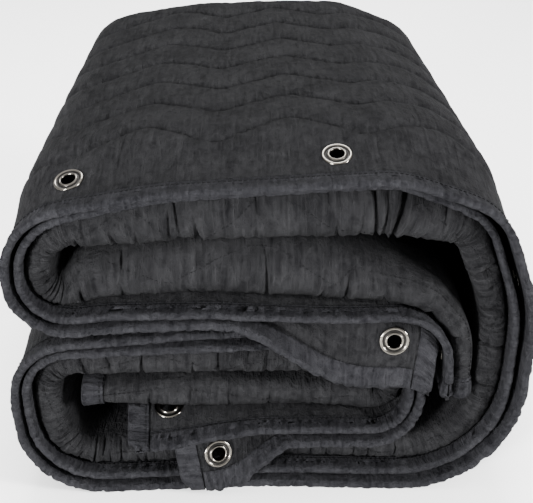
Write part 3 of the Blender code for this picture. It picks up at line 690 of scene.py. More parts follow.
    def middle(self, q: np.ndarray, s: np.ndarray) -> np.ndarray:
        """Find points of the cloth's middle surface.

        Args:
            q: The way across.
            s: The way along.

        Returns:
            The points, in millimetres.
        """
        q, s = (np.array(v, float) for v in np.broadcast_arrays(q, s))
        moved = self.moved(q, s)
        depth, y, hang = self.section(q, moved)
        x, z = self.strip.place(moved, depth)
        deep = (y - self.front_y) / (self.back_y - self.front_y)
        grown = 1.0 + self.growth * smooth_step((y - self.front_y) / self.growth_reach)
        grown += (self.rise - self.lean * x / self.half_width) * deep
        drawn = x - self.draw * deep * np.clip(x / self.draw_span, -1.0, 1.0)
        return np.stack((drawn, y, (z - hang) * grown), axis=-1) + self.shift

    def frame_at(self, q: np.ndarray, s: np.ndarray) -> tuple[np.ndarray, np.ndarray, np.ndarray]:
        """Directions on the cloth.

        Args:
            q: The way across.
            s: The way along.

        Returns:
            Unit vectors along the strip, across it towards the second edge, and out of the outermost face.
        """
        q, s = (np.array(v, float) for v in np.broadcast_arrays(q, s))
        along = self.middle(q, s + 1.0) - self.middle(q, s - 1.0)
        across = self.middle(np.minimum(q + 0.004, 7.0), s) - self.middle(np.maximum(q - 0.004, 0.0), s)
        normal = np.cross(along, across)
        return tuple(v / np.linalg.norm(v, axis=-1, keepdims=True) for v in (along, across, normal))


@dataclass
class Noise:
    """Smooth random unevenness over the flat cloth, the same on each run."""

    seed: int
    cell_s: float
    cell_w: float
    octaves: int = 2
    side: int = 257
    start: tuple[float, float] = (7.3, 3.1)

    def __call__(self, s: np.ndarray, w: np.ndarray) -> np.ndarray:
        """Read the unevenness at places on the flat cloth.

        Args:
            s: The way along.
            w: The distance across.

        Returns:
            Values of about -1 to 1.
        """
        total, weight = np.zeros(np.broadcast(s, w).shape), 0.0
        for octave in range(self.octaves):
            scale = 2.0 ** octave
            grid = np.random.default_rng(self.seed + octave).uniform(-1.0, 1.0, (self.side, self.side))
            a, b = s * scale / self.cell_s + self.start[0], w * scale / self.cell_w + self.start[1]
            i, j = np.floor(a).astype(int), np.floor(b).astype(int)
            u, v = smooth_step(a - i), smooth_step(b - j)
            corner = [grid[(i + di) % self.side, (j + dj) % self.side] for di in (0, 1) for dj in (0, 1)]
            low, high = corner[0] + (corner[1] - corner[0]) * v, corner[2] + (corner[3] - corner[2]) * v
            total = total + (low + (high - low) * u) / scale
            weight += 1.0 / scale
        return total / weight


def rested(points: np.ndarray, above: float) -> np.ndarray:
    """Press points flat that would sink into the floor, or come nearer to it than this."""
    return np.column_stack((points[:, :2], np.maximum(points[:, 2], above)))


def hills(noise: np.ndarray) -> np.ndarray:
    """Turn noise into rounded hills with narrow creases between them, from 0 to about 1."""
    return np.abs(noise) ** 0.6


@dataclass
class Quilting:
    """Wavy sewn lines along the blanket, and the puckers that they draw in the cloth."""

    fold: Fold
    pitch: float = 58.0
    period: float = 140.0
    swing: float = 15.0
    depth: float = 3.4
    first: float = 88.0
    crest_at: float = 20.0
    groove: float = 5.5
    groove_power: float = 1.2
    stitch_depth: float = 2.2
    stitch_width: float = 1.8
    pucker: float = 2.5
    pucker_reach: float = 20.0
    sharpen: float = 0.1
    roll_depth: float = 1.3
    roll_groove: float = 7.0
    roll_stitch_depth: float = 0.9
    roll_stitch_width: float = 1.5
    roll_pucker_reach: float = 9.0
    roll_wander: float = 1.2
    fade: float = 60.0

    def wave(self, s: np.ndarray) -> np.ndarray:
        """Swing the sewn lines to and fro: a zigzag with rounded corners.

        Args:
            s: The way along.

        Returns:
            The swing, from about -1 to 1.
        """
        strip = self.fold.strip
        top = (strip.s > strip.turn_s("left turn, above")) & (strip.s < strip.turn_s("right turn, above"))
        crest = np.interp(self.crest_at, strip.x[top], strip.s[top])
        phase = 2.0 * math.pi * (self.fold.moved(np.full_like(s, 0.5), s) - crest) / self.period
        return np.cos(phase) + self.sharpen * np.cos(3.0 * phase)

    def line(self, number: int, s: np.ndarray) -> np.ndarray:
        """The distance across the cloth of one sewn line at s."""
        return self.first + self.pitch * number + self.swing * self.wave(s)

    def roll_line(self, s: np.ndarray) -> np.ndarray:
        """Place the sewn line that the front roll shows.

        Args:
            s: The way along.

        Returns:
            Its distance across the cloth.
        """
        marks = np.array(ROLL_SEAM)
        wander = Noise(83, 30.0, 30.0)(s, np.zeros_like(s))
        return self.fold.w_at(np.interp(s, marks[:, 0], marks[:, 1])) + self.roll_wander * wander

    def away(self, s: np.ndarray, w: np.ndarray) -> tuple[np.ndarray, np.ndarray]:
        """Measure from the nearest sewn line.

        Args:
            s: The way along.
            w: The distance across.

        Returns:
            How far a place is from it, and that line's number.
        """
        t = (w - self.first - self.swing * self.wave(s)) / self.pitch
        number = np.round(t)
        return (t - number) * self.pitch, number

    def share(self, s: np.ndarray) -> np.ndarray:
        """Press the quilting flat under the stack's weight.

        Args:
            s: The way along.

        Returns:
            1 where the quilting stands out, and 0 where it is pressed flat.
        """
        strip = self.fold.strip
        low = smooth_step((s - strip.turn_s("right side, low") - self.fade) / self.fade)
        high = smooth_step((s - strip.turn_s("bottom, left") - 0.5 * self.fade) / self.fade)
        return 1.0 - low + high


@dataclass
class QuiltedCloth:
    """The blanket's cloth: one closed sheet with quilting, puckers, creases and eyelet holes."""

    fold: Fold
    quilting: Quilting
    base_s: float = 24.0
    base_w: float = 36.0
    hole: float = 15.8
    inset: float = 43.0
    drift: float = 24.0
    eyelets: int = 11
    split_over: float = 1.45
    passes: int = 6
    near_end: float = 400.0
    crease_share: float = 0.5
    crease_reach: float = 5.0
    crease_bank: float = 0.3
    crease_bank_at: float = 2.6
    # the front roll lies between these q, and what shows of it within this much of its middle
    roll_from: float = 2.7
    roll_to: float = 4.1
    roll_middle: float = 3.5
    roll_shown: float = 0.38
    ripple: float = 1.9
    edge_gather: float = 1.3
    edge_gather_reach: float = 16.0
    swell: float = 0.7
    roll_swell: float = 0.6
    # under a tape the cloth lies this much lower, and beside an eyelet it is clamped flat
    tape_leg: float = 13.0
    tape_fade: float = 6.0
    under_tape: float = 0.4
    clamp: float = 15.0
    clamp_fade: float = 7.0

    def eyelet_places(self) -> list[tuple[float, float]]:
        """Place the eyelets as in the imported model.

        Returns:
            The q and the s of each.
        """
        fold, q = self.fold, self.inset / self.fold.layer_length
        first_inset, first_end = CORNERS[Edge.FIRST, End.START]
        last_inset, last_end = CORNERS[Edge.FIRST, End.FINISH]
        s = np.arange(0.0, fold.strip.length, 2.0)
        line = fold.middle(np.full_like(s, q), s)
        way = np.concatenate(([0.0], np.cumsum(np.linalg.norm(np.diff(line, axis=0), axis=1))))
        share = np.linspace(0.0, 1.0, self.eyelets)
        marks = first_end + share * (way[-1] - first_end - last_end) + self.drift * np.sin(math.pi * share)
        places = [(q, float(at)) for at in np.interp(marks, way, s)]
        places[0] = (first_inset / fold.layer_length, places[0][1])
        places[-1] = (last_inset / fold.layer_length, places[-1][1])
        for end in End:
            inset, from_end = CORNERS[Edge.SECOND, end]
            last = 7.0 - inset / fold.layer_length
            along = from_end / float(fold.stretch(last, end))
            places.append((last, along if end is End.START else fold.strip.length - along))
        return places

    def spacing(self, s: np.ndarray, w: np.ndarray, side: np.ndarray) -> tuple[np.ndarray, np.ndarray]:
        """How fine the mesh is at a place.

        Args:
            s: The way along.
            w: The distance across.
            side: 1 on the outermost face, -1 on the other.

        Returns:
            The wanted spacing along and across.
        """
        fold, strip = self.fold, self.fold.strip
        q = fold.q_at(w)
        along, across = np.full_like(s, self.base_s), np.full_like(s, self.base_w)

        def finer(where: np.ndarray, step_s: float, step_w: float) -> None:
            """Ask for at least this spacing where a mask says."""
            along[where] = np.minimum(along[where], step_s)
            across[where] = np.minimum(across[where], step_w)

        # wrap is the part whose outermost face shows, except under the stack
        outer = side > 0.0
        wrap = (s > strip.turn_s("left turn, below") - 40.0) & (s < strip.turn_s("lower left turn") + 40.0)
        under = (s > strip.turn_s("right turn, below") + 60.0) & (s < strip.turn_s("bottom, left") - 30.0)
        finer((q < 0.06) | (q > 6.94), 6.0, 9.0)
        finer((q < 0.19) & outer, 5.0, 6.0)
        finer((q < 0.16) & ~outer, 6.0, 9.0)
        finer((q < 0.16) & ~outer & (s < 260.0), 5.0, 3.0)
        finer((q < 1.0) & outer & wrap & ~under, 6.0, 4.5)
        line = np.abs(self.quilting.away(s, w)[0])
        finer((q > 0.16) & (q < 1.0) & outer & wrap & ~under & (line < 5.0), 6.0, 1.8)
        finer((q > 0.98) & (q < 2.02) & outer, 6.0, 9.0)
        finer((q > 2.93) & (q < 4.06) & outer, 3.5, 5.0)
        finer((q > 2.9) & (q < 4.1) & ~outer, 12.0, 9.0)
        finer((q > 4.96) & (q < 6.04), 24.0, 9.0)
        finer((q > 6.84), 6.0, 9.0)
        finer(fold.from_end(q, s) < 70.0, 6.0, 9.0)
        for crease in CREASES:
            finer(outer & (self.crease_gap(crease, s, w)[0] < 0.8 * crease.width), 0.9, 5.0)
        for at_q, at_s in self.eyelet_places():
            gap = np.hypot(s - at_s, (q - at_q) * fold.layer_length)
            finer(gap < 19.0, 1.5, 2.3)
        return along, across

    def crease_gap(self, crease: Crease, s: np.ndarray, w: np.ndarray) -> tuple[np.ndarray, np.ndarray]:
        """Measure from a crease.

        Args:
            crease: The crease.
            s: The way along.
            w: The distance across.

        Returns:
            How far a place is from the crease's line, and its share of the line's length, from 0 to 1.
        """
        fold = self.fold
        first_w, last_w = (float(fold.w_at(np.array(q))) for q in (crease.first_q, crease.last_q))
        first_s = fold.strip.turn_s(crease.turn) + crease.along
        share = np.clip((w - first_w) / (last_w - first_w), 0.0, 1.0)
        bow = 0.06 * (last_w - first_w) * np.sin(math.pi * share) * math.sin(7.0 * crease.along)
        beside = s - first_s - crease.lean * share - bow
        return np.hypot(beside, w - first_w - share * (last_w - first_w)), share

    def creases(self, s: np.ndarray, w: np.ndarray) -> np.ndarray:
        """Press in the listed creases.

        Args:
            s: The way along.
            w: The distance across.

        Returns:
            How far all of them together move the outermost face.
        """
        lift = np.zeros_like(s)
        uneven = 1.0 + 0.35 * Noise(61, 14.0, 11.0)(s, w)
        for crease in CREASES:
            gap, share = self.crease_gap(crease, s, w)
            near = gap < self.crease_reach * crease.width
            t = gap[near] / (self.crease_share * crease.width * uneven[near])
            taper = 0.35 + 0.65 * np.sin(math.pi * share[near])
            bank = self.crease_bank * np.exp(-0.5 * (t - self.crease_bank_at) ** 2)
            lift[near] -= crease.depth * taper * (np.exp(-t ** 1.5) - bank)
        return lift

    def flat_slab(self) -> bmesh.types.BMesh:
        """Lay the cloth out flat as a closed slab, with its mesh finer where it shows.

        Returns:
            The slab, with s as x, the distance across as y, and z at 1 or -1.
        """
        length, width = self.fold.strip.length, self.fold.width
        bm = bmesh.new()
        bmesh.ops.create_grid(bm, x_segments=round(length / self.base_s),
                              y_segments=round(width / self.base_w), size=0.5)
        bmesh.ops.translate(bm, vec=(0.5, 0.5, 0.0), verts=bm.verts)
        bmesh.ops.scale(bm, vec=(length, width, 1.0), verts=bm.verts)
        made = bmesh.ops.extrude_face_region(bm, geom=bm.faces[:])
        lifted = [v for v in made["geom"] if isinstance(v, bmesh.types.BMVert)]
        bmesh.ops.translate(bm, vec=(0.0, 0.0, 1.0), verts=lifted)
        bmesh.ops.translate(bm, vec=(0.0, 0.0, -0.5), verts=bm.verts)
        bmesh.ops.scale(bm, vec=(1.0, 1.0, 2.0), verts=bm.verts)
        for _ in range(self.passes):
            edges = bm.edges[:]
            ends = np.array([(*e.verts[0].co, *e.verts[1].co) for e in edges])
            middle = 0.5 * (ends[:, :3] + ends[:, 3:])
            along, across = self.spacing(middle[:, 0], middle[:, 1], middle[:, 2])
            ds, dw = np.abs(ends[:, 0] - ends[:, 3]), np.abs(ends[:, 1] - ends[:, 4])
            split = (ds > self.split_over * along) | (dw > self.split_over * across)
            if not split.any():
                break
            bmesh.ops.subdivide_edges(bm, edges=[edges[i] for i in np.flatnonzero(split)], cuts=1,
                                      use_grid_fill=True)
        return bm

    def cut_holes(self, bm: bmesh.types.BMesh) -> None:
        """Open the eyelet holes in the flat slab, each with a wall between its two faces.

        Args:
            bm: The slab.
        """
        radius, length = 0.5 * self.hole, self.fold.strip.length
        for q, s in self.eyelet_places():
            stretch = float(self.fold.stretch(np.array(q), End.START if s < 0.5 * length else End.FINISH))
            stretch = stretch if min(s, length - s) < self.near_end else 1.0
            centre = Vector((s, float(self.fold.w_at(q)), 0.0))

            def away(co: Vector) -> float:
                """Real distance from the hole's centre."""
                return math.hypot((co.x - centre.x) * stretch, co.y - centre.y)

            inside = [f for f in bm.faces if away(f.calc_center_median()) < radius]
            bmesh.ops.delete(bm, geom=inside, context="FACES")
            rims = [e for e in bm.edges if e.is_boundary and away(e.verts[0].co) < 2.0 * radius]
            for vert in {v for e in rims for v in e.verts}:
                scale = radius / max(away(vert.co), 0.1)
                vert.co.x = centre.x + (vert.co.x - centre.x) * scale
                vert.co.y = centre.y + (vert.co.y - centre.y) * scale
            bmesh.ops.bridge_loops(bm, edges=rims)

    def relief(self, s: np.ndarray, w: np.ndarray) -> np.ndarray:
        """Shape the outermost face: quilting, puckers, ripples, gathers and creases.

        Args:
            s: The way along.
            w: The distance across.

        Returns:
            How far the face stands above half the thickness.
        """
        quilting, fold, strip = self.quilting, self.fold, self.fold.strip
        q = fold.q_at(w)
        thick = fold.thickness(q, s)
        full = smooth_step((thick - fold.band_thick) / (0.9 * fold.cloth_thick - fold.band_thick))
        roll = smooth_step((q - self.roll_from) / 0.2) * (1.0 - smooth_step((q - self.roll_to) / 0.2))
        away, number = quilting.away(s, w)
        groove = np.exp(-(np.abs(away) / quilting.groove) ** quilting.groove_power)
        sewn = np.exp(-(away / quilting.stitch_width) ** 2)
        near = np.exp(-np.abs(away) / quilting.pucker_reach)
        bend = np.abs(np.interp(s, strip.s, np.gradient(strip.heading, strip.s))) * 45.0
        gathers = hills(Noise(11, 8.0, 34.0)(s + 37.0 * number, w))
        ripples = hills(Noise(23, 13.0, 46.0, 1)(s, w + 0.3 * s))
        edge = np.exp(-np.maximum(fold.from_edge(q) - 17.0, 0.0) / self.edge_gather_reach)
        at_edge = hills(Noise(31, 8.0, 26.0)(s, w))
        inside = np.minimum(fold.from_edge(q), fold.from_end(q, s))
        bound = smooth_step((inside - self.tape_leg) / self.tape_fade)
        soft = Noise(5, 60.0, 40.0)(s, w)
        lift = -quilting.depth * groove * full * quilting.share(s) * (1.0 - roll)
        lift -= quilting.stitch_depth * sewn * full * quilting.share(s) * (1.0 - roll)
        seam = np.abs(w - quilting.roll_line(s))
        roll_groove = quilting.roll_depth * np.exp(-(seam / quilting.roll_groove) ** quilting.groove_power)
        roll_stitch = quilting.roll_stitch_depth * np.exp(-(seam / quilting.roll_stitch_width) ** 2)
        lift -= roll * full * (roll_groove + roll_stitch)
        near = np.maximum(near * (1.0 - roll), roll * np.exp(-seam / quilting.roll_pucker_reach))
        puckers = quilting.pucker * (gathers - 0.5) * (0.3 + 0.9 * near)
        lift += puckers * (0.25 + 0.75 * full) * (0.6 + 0.7 * roll)
        lift += self.ripple * (ripples - 0.55) * (0.4 + np.minimum(bend, 1.1)) * full * roll
        lift += self.edge_gather * (at_edge - 0.5) * edge
        lift += (self.swell + self.roll_swell * roll) * soft * (0.3 + 0.7 * full)
        lift += self.creases(s, w)
        # away from the front, nothing on the inner layers swells into the layer beside it
        shown = 1.0 - smooth_step((np.abs(q - self.roll_middle) - self.roll_shown) / 0.12)
        lift = np.where((q > 1.9) & (lift > 0.0), lift * shown, lift)
        return lift * bound - self.under_tape * (1.0 - bound)

    def underside(self, s: np.ndarray, w: np.ndarray) -> np.ndarray:
        """Shape the inner face on the corner that hangs in front, with its long soft fold.

        Args:
            s: The way along.
            w: The distance across.

        Returns:
            How far the face stands out.
        """
        fold = self.fold
        q = fold.q_at(w)
        from_edge = q * fold.layer_length
        near = (1.0 - smooth_step((s - 190.0) / 70.0)) * (1.0 - smooth_step((from_edge - 60.0) / 20.0))
        bound = smooth_step((np.minimum(from_edge, fold.from_end(q, s)) - 14.0) / 8.0)
        # a soft ridge about 33 mm in from the edge, with a trough 8 mm beside it, rises from 60 mm on
        ridge = from_edge - 33.0 + 0.05 * (s - 100.0)
        along = smooth_step((s - 60.0) / 40.0)
        bend = along * (2.2 * np.exp(-(ridge / 4.0) ** 2) - 1.6 * np.exp(-((ridge + 8.0) / 3.5) ** 2))
        return near * bound * (bend + 1.1 * Noise(41, 24.0, 15.0)(s, w))

    def surface(self, s: np.ndarray, w: np.ndarray, side: np.ndarray) -> np.ndarray:
        """Points on a face of the folded cloth.

        Args:
            s: The way along.
            w: The distance across.
            side: 1 on the outermost face, -1 on the other, or between them on a wall.

        Returns:
            The points, in millimetres.
        """
        q = self.fold.q_at(w)
        lift = np.where(side > 0.0, self.relief(s, w), self.underside(s, w)) * (1.0 - self.near_eyelets(q, s))
        half = 0.5 * self.fold.thickness(q, s) + lift
        return rested(self.fold.middle(q, s) + self.fold.frame_at(q, s)[2] * (side * half)[:, None], 0.1)

    def build(self) -> bpy.types.Object:
        """Fold the slab and dress it.

        Returns:
            The finished piece.
        """
        bm = self.flat_slab()
        self.cut_holes(bm)
        bmesh.ops.recalc_face_normals(bm, faces=bm.faces)
        mesh = as_mesh(bm, "quilted_cloth")
        flat = flat_places(mesh)
        fold_mesh(mesh, self.surface(*flat.T), flat[:, :2])
        mesh.shade_smooth()
        mesh.update()
        return link("quilted_cloth", mesh)

    def near_eyelets(self, q: np.ndarray, s: np.ndarray) -> np.ndarray:
        """Find where an eyelet clamps the cloth flat.

        Args:
            q: The way across.
            s: The way along.

        Returns:
            1 under a flange, and 0 away from it.
        """
        clamped = np.zeros_like(s)
        for at_q, at_s in self.eyelet_places():
            gap = np.hypot(s - at_s, (q - at_q) * self.fold.layer_length)
            clamped = np.maximum(clamped, 1.0 - smooth_step((gap - self.clamp) / self.clamp_fade))
        return clamped


@dataclass
class BindingTape:
    """Folded tape over an edge: two legs and a rounded nose, drawn in by its seam."""

    fold: Fold
    leg: float = 17.5
    seam: float = 14.0
    gap: float = 0.4
    thick: float = 0.9
    step: float = 2.4
    trim: float = 2.0
    column_uv: float = 3.0
    hidden_leg: float = 60.0
    belly: float = 1.2
    belly_uneven: float = 0.5
    gather: float = 2.0
    gather_length: float = 7.5
    seam_dip: float = 0.25
    seam_width: float = 1.5
    bite_depth: float = 2.2
    inner_share: float = 0.1
    second_share: float = 0.7
    pinch: float = 0.35
    corner_round: float = 9.0
    corner_in: float = 7.0

    def profile(self) -> list[tuple[float, float]]:
        """Draw the tape's middle line round the edge.

        Returns:
            For each column, its distance in from the edge and its offset from the cloth's middle.
        """
        height = 0.5 * self.fold.edge_thick + self.gap + 0.5 * self.thick
        legs = [(d, height) for d in np.linspace(self.leg, 0.0, 7)]
        angles = np.linspace(0.0, math.pi, 7)[1:-1]
        nose = [(-0.8 * height * math.sin(a), height * math.cos(a)) for a in angles]
        return legs + nose + [(d, -h) for d, h in reversed(legs)]

    def grid(self, name: str, rows: int) -> tuple[bpy.types.Mesh, np.ndarray]:
        """A flat grid of rows along the tape and columns round its profile.

        Args:
            name: The mesh's name.
            rows: How many rows.

        Returns:
            The mesh, and each vertex's row and column.
        """
        columns = len(self.profile())
        bm = bmesh.new()
        bmesh.ops.create_grid(bm, x_segments=rows - 1, y_segments=columns - 1, size=0.5)
        bmesh.ops.translate(bm, vec=(0.5, 0.5, 0.0), verts=bm.verts)
        bmesh.ops.scale(bm, vec=(rows - 1, columns - 1, 1.0), verts=bm.verts)
        mesh = as_mesh(bm, name)
        return mesh, flat_places(mesh)[:, :2]

    def lay(self, name: str, ways: np.ndarray, over: Callable[..., np.ndarray],
            flip: bool) -> bpy.types.Object:
        """Lay a tape over an edge and give it its thickness.

        Args:
            name: The piece's name.
            ways: The places along the tape, a row of the mesh at each.
            over: Gives the points over the edge from their way along, distance in and offset.
            flip: Whether the faces have to be turned to point outwards.

        Returns:
            The finished piece.
        """
        mesh, flat = self.grid(name, len(ways))
        d, offset = np.array(self.profile())[flat[:, 1].astype(int)].T
        along = ways[flat[:, 0].round().astype(int)]
        fold_mesh(mesh, over(along, d, offset), np.column_stack((along, flat[:, 1] * self.column_uv)))
        if flip:
            mesh.flip_normals()
        mesh.shade_smooth()
        mesh.update()
        thing = link(mesh.name, mesh)
        wall = thing.modifiers.new("thickness", "SOLIDIFY")
        wall.thickness = self.thick * MM
        wall.offset = 0.0
        return thing

    def pucker(self, along: np.ndarray, d: np.ndarray, seed: int) -> np.ndarray:
        """How far the tape stands proud: gathers that the seam draws up, and a round swell over the edge.

        Args:
            along: The way along the tape.
            d: The distance in from the edge, and hidden_leg more on the leg that is out of sight.
            seed: A number for this tape's own unevenness.

        Returns:
            The height over the plain tape.
        """
        inside = np.mod(d, self.hidden_leg)
        gathers = hills(Noise(seed, self.gather_length, 22.0)(along, d))
        swell = Noise(seed + 40, 34.0, 30.0)(along, d)
        belly = np.clip(1.0 - inside / self.seam, 0.0, 1.0)
        seam = np.exp(-((inside - self.seam) / self.seam_width) ** 2)
        round_swell = (self.belly + self.belly_uneven * swell) * np.sqrt(belly)
        return round_swell + self.gather * (gathers - 0.3) * belly ** 0.4 - self.seam_dip * seam

    def bite(self, along: np.ndarray, seed: int) -> np.ndarray:
        """How much further out or in the tape's folded rim stands, which scallops the edge."""
        return self.bite_depth * (hills(Noise(seed + 7, 8.5, 50.0)(along, np.zeros_like(along))) - 0.5)

    def over_long(self, edge: Edge, along: np.ndarray, d: np.ndarray, offset: np.ndarray) -> np.ndarray:
        """Points of the tape on a long edge.

        Args:
            edge: The edge.
            along: The way along the strip.
            d: The distance in from the edge, below 0 on the nose.
            offset: The height over the cloth's middle, below 0 on the inner leg.

        Returns:
            The points, in millimetres.
        """
        fold = self.fold
        edge_q, sign, seed = (0.0, 1.0, 70) if edge is Edge.FIRST else (7.0, -1.0, 77)
        inside = np.maximum(d, 0.0)
        q = edge_q + sign * inside / fold.layer_length
        _, across, normal = fold.frame_at(q, along)
        proud = self.pucker(along, inside + self.hidden_leg * (offset < 0.0), seed)
        rim = self.bite(along, seed) * np.clip(1.0 - inside / self.seam, 0.0, 1.0) ** 2
        out = normal * offset[:, None] + across * ((np.minimum(d, 0.0) - rim) * sign)[:, None]
        outer_share = 1.0 if edge is Edge.FIRST else self.second_share
        grown = np.maximum(proud, -0.2) * np.where(offset < 0.0, self.inner_share, outer_share)
        out += out * (grown / np.maximum(np.linalg.norm(out, axis=1), 1.0))[:, None]
        return rested(fold.middle(q, along) + out, 0.5 * self.thick)

    def over_short(self, end: End, along: np.ndarray, d: np.ndarray, offset: np.ndarray) -> np.ndarray:
        """Points of the tape on a short end.

        Args:
            end: The end.
            along: The distance across the cloth, a little past each long edge at the corners.
            d: The distance in from the end, below 0 on the nose.
            offset: The height over the cloth's middle, below 0 on the inner leg.

        Returns:
            The points, in millimetres.
        """
        fold, seed = self.fold, 91 if end is End.START else 98
        q = fold.q_at(along)
        past = np.where(along < 0.0, along, np.maximum(along - fold.width, 0.0))
        inside = np.maximum(d, 0.0) / fold.stretch(q, end)
        s = inside if end is End.START else fold.strip.length - inside
        way, across, normal = fold.frame_at(q, s)
        sign = 1.0 if end is End.START else -1.0
        pinch = np.where(np.abs(past) > self.trim - 0.01, self.pinch, 1.0)
        proud = self.pucker(along, np.maximum(d, 0.0) + self.hidden_leg * (offset < 0.0), seed)
        corner = smooth_step(1.0 - np.minimum(along, fold.width - along) / self.corner_round)
        inward = self.corner_in * corner * np.clip(1.0 - np.maximum(d, 0.0) / self.corner_round, 0.0, 1.0)
        out = normal * (offset * pinch)[:, None] + way * ((np.minimum(d, 0.0) + inward) * sign)[:, None]
        grown = np.maximum(proud, -0.2) * pinch
        size = np.maximum(np.linalg.norm(normal * offset[:, None], axis=1), 1.0)
        out += normal * (offset * grown / size)[:, None]
        return rested(fold.middle(q, s) + out + across * past[:, None], 0.5 * self.thick)

    def long(self, name: str, edge: Edge) -> bpy.types.Object:
        """The tape over a long edge, between the two short ones."""
        ways = self.long_ways(edge, self.step)
        return self.lay(name, ways, partial(self.over_long, edge), edge is Edge.SECOND)

    def short(self, name: str, end: End) -> bpy.types.Object:
        """The tape over a short end, pinched shut at the two corners."""
        ways = self.short_ways(self.step)
        return self.lay(name, ways, partial(self.over_short, end), end is End.START)

    def long_ways(self, edge: Edge, step: float) -> np.ndarray:
        """Lay out places along the tape of a long edge.

        Args:
            edge: The edge.
            step: How far apart they are.

        Returns:
            The way along the strip of each.
        """
        fold, edge_q = self.fold, np.array(0.0 if edge is Edge.FIRST else 7.0)
        first = (fold.tape_span + 0.5) / fold.stretch(edge_q, End.START)
        last = fold.strip.length - (fold.tape_span + 0.5) / fold.stretch(edge_q, End.FINISH)
        return np.linspace(float(first), float(last), int((last - first) / step))

    def short_ways(self, step: float) -> np.ndarray:
        """Places along the tape of a short end, this far apart."""
        return np.linspace(-self.trim, self.fold.width + self.trim, int(self.fold.width / step))


@dataclass
class Thread:
    """Sewing thread: a run of stitches that rises over the cloth and dips in at each needle hole."""

    fold: Fold
    radius: float = 0.5
    stitch: float = 4.4
    step: float = 1.1
    sides: int = 5
    crown: float = 0.45
    dip: float = 1.7
    sample: float = 1.5

    def tube(self, points: np.ndarray, normals: np.ndarray) -> bmesh.types.BMesh:
        """Lay a closed tube along a line.

        Args:
            points: The line's points, in millimetres.
            normals: A direction square to the line for each point.

        Returns:
            The tube, in metres.
        """
        rows = len(points)
        bm = bmesh.new()
        bmesh.ops.create_cone(bm, cap_ends=True, segments=self.sides, radius1=1.0, radius2=1.0, depth=1.0)
        uprights = [e for e in bm.edges if abs(e.verts[0].co.z - e.verts[1].co.z) > 0.5]
        bmesh.ops.subdivide_edges(bm, edges=uprights, cuts=rows - 2, use_grid_fill=True)
        along = np.gradient(points, axis=0)
        along /= np.maximum(np.linalg.norm(along, axis=1, keepdims=True), 1e-6)
        sideways = np.cross(along, normals)
        for vert in bm.verts:
            row = round((vert.co.z + 0.5) * (rows - 1))
            off = sideways[row] * vert.co.x + normals[row] * vert.co.y
            vert.co = Vector((points[row] + self.radius * off) * MM)
        return bm

    def build(self, name: str, runs: list[tuple[np.ndarray, np.ndarray]]) -> bpy.types.Object:
        """Sew along each run.

        Args:
            name: The piece's name.
            runs: For each line, its points on the cloth and the directions out of it.

        Returns:
            The finished piece.
        """
        whole = bmesh.new()
        holder = bpy.data.meshes.new(name)
        for points, normals in runs:
            way = np.concatenate(([0.0], np.cumsum(np.linalg.norm(np.diff(points, axis=0), axis=1))))
            even = np.arange(0.0, way[-1], self.step)
            laid = np.column_stack([np.interp(even, way, points[:, i]) for i in range(3)])
            out = np.column_stack([np.interp(even, way, normals[:, i]) for i in range(3)])
            out /= np.linalg.norm(out, axis=1, keepdims=True)
            share = np.abs(np.mod(even / self.stitch, 1.0) - 0.5)
            rise = self.crown - self.dip * smooth_step((share - 0.28) / 0.22)
            tube = self.tube(rested(laid + out * rise[:, None], self.radius), out)
            tube.to_mesh(holder)
            tube.free()
            whole.from_mesh(holder)
        bmesh.ops.recalc_face_normals(whole, faces=whole.faces)
        mesh = as_mesh(whole, name)
        bpy.data.meshes.remove(holder)
        mesh.shade_smooth()
        return link(name, mesh)

    def line(self, cloth: "QuiltedCloth", s: np.ndarray, w: np.ndarray) -> tuple[np.ndarray, np.ndarray]:
        """A line on the cloth's outermost face, and the directions out of it."""
        return cloth.surface(s, w, np.ones_like(s)), self.fold.frame_at(self.fold.q_at(w), s)[2]

    def quilting_runs(self, cloth: "QuiltedCloth") -> list[tuple[np.ndarray, np.ndarray]]:
        """Lay out the sewn lines on the top and sides of the stack, and the one in the front roll.

        Args:
            cloth: The cloth they are sewn in.

        Returns:
            Each line's points and directions.
        """
        strip, quilting = self.fold.strip, cloth.quilting
        first, end = strip.turn_s("left turn, below") - 20.0, strip.turn_s("right side, low")
        shown = np.arange(first, end, self.sample)
        last = int((self.fold.across[200] - quilting.first) / quilting.pitch)
        runs = [self.line(cloth, shown, quilting.line(number, shown)) for number in range(last + 1)]
        whole = np.arange(6.0, strip.length - 6.0, self.sample)
        return runs + [self.line(cloth, whole, quilting.roll_line(whole))]

    def seam_runs(self, tape: BindingTape) -> list[tuple[np.ndarray, np.ndarray]]:
        """Lay out the seam that holds each binding tape, on its outermost leg.

        Args:
            tape: The tape.

        Returns:
            Each seam's points and directions.
        """
        height, runs = 0.5 * self.fold.edge_thick + tape.gap + tape.thick, []
        for edge in Edge:
            ways = tape.long_ways(edge, 2.0)
            d, offset = np.full_like(ways, tape.seam), np.full_like(ways, height)
            q = d / self.fold.layer_length
            q = q if edge is Edge.FIRST else 7.0 - q
            runs.append((tape.over_long(edge, ways, d, offset), self.fold.frame_at(q, ways)[2]))
        for end in End:
            ways = tape.short_ways(2.0)[2:-2]
            d, offset = np.full_like(ways, tape.seam), np.full_like(ways, height)
            q = self.fold.q_at(ways)
            inside = d / self.fold.stretch(q, end)
            s = inside if end is End.START else self.fold.strip.length - inside
            runs.append((tape.over_short(end, ways, d, offset), self.fold.frame_at(q, s)[2]))
        return runs


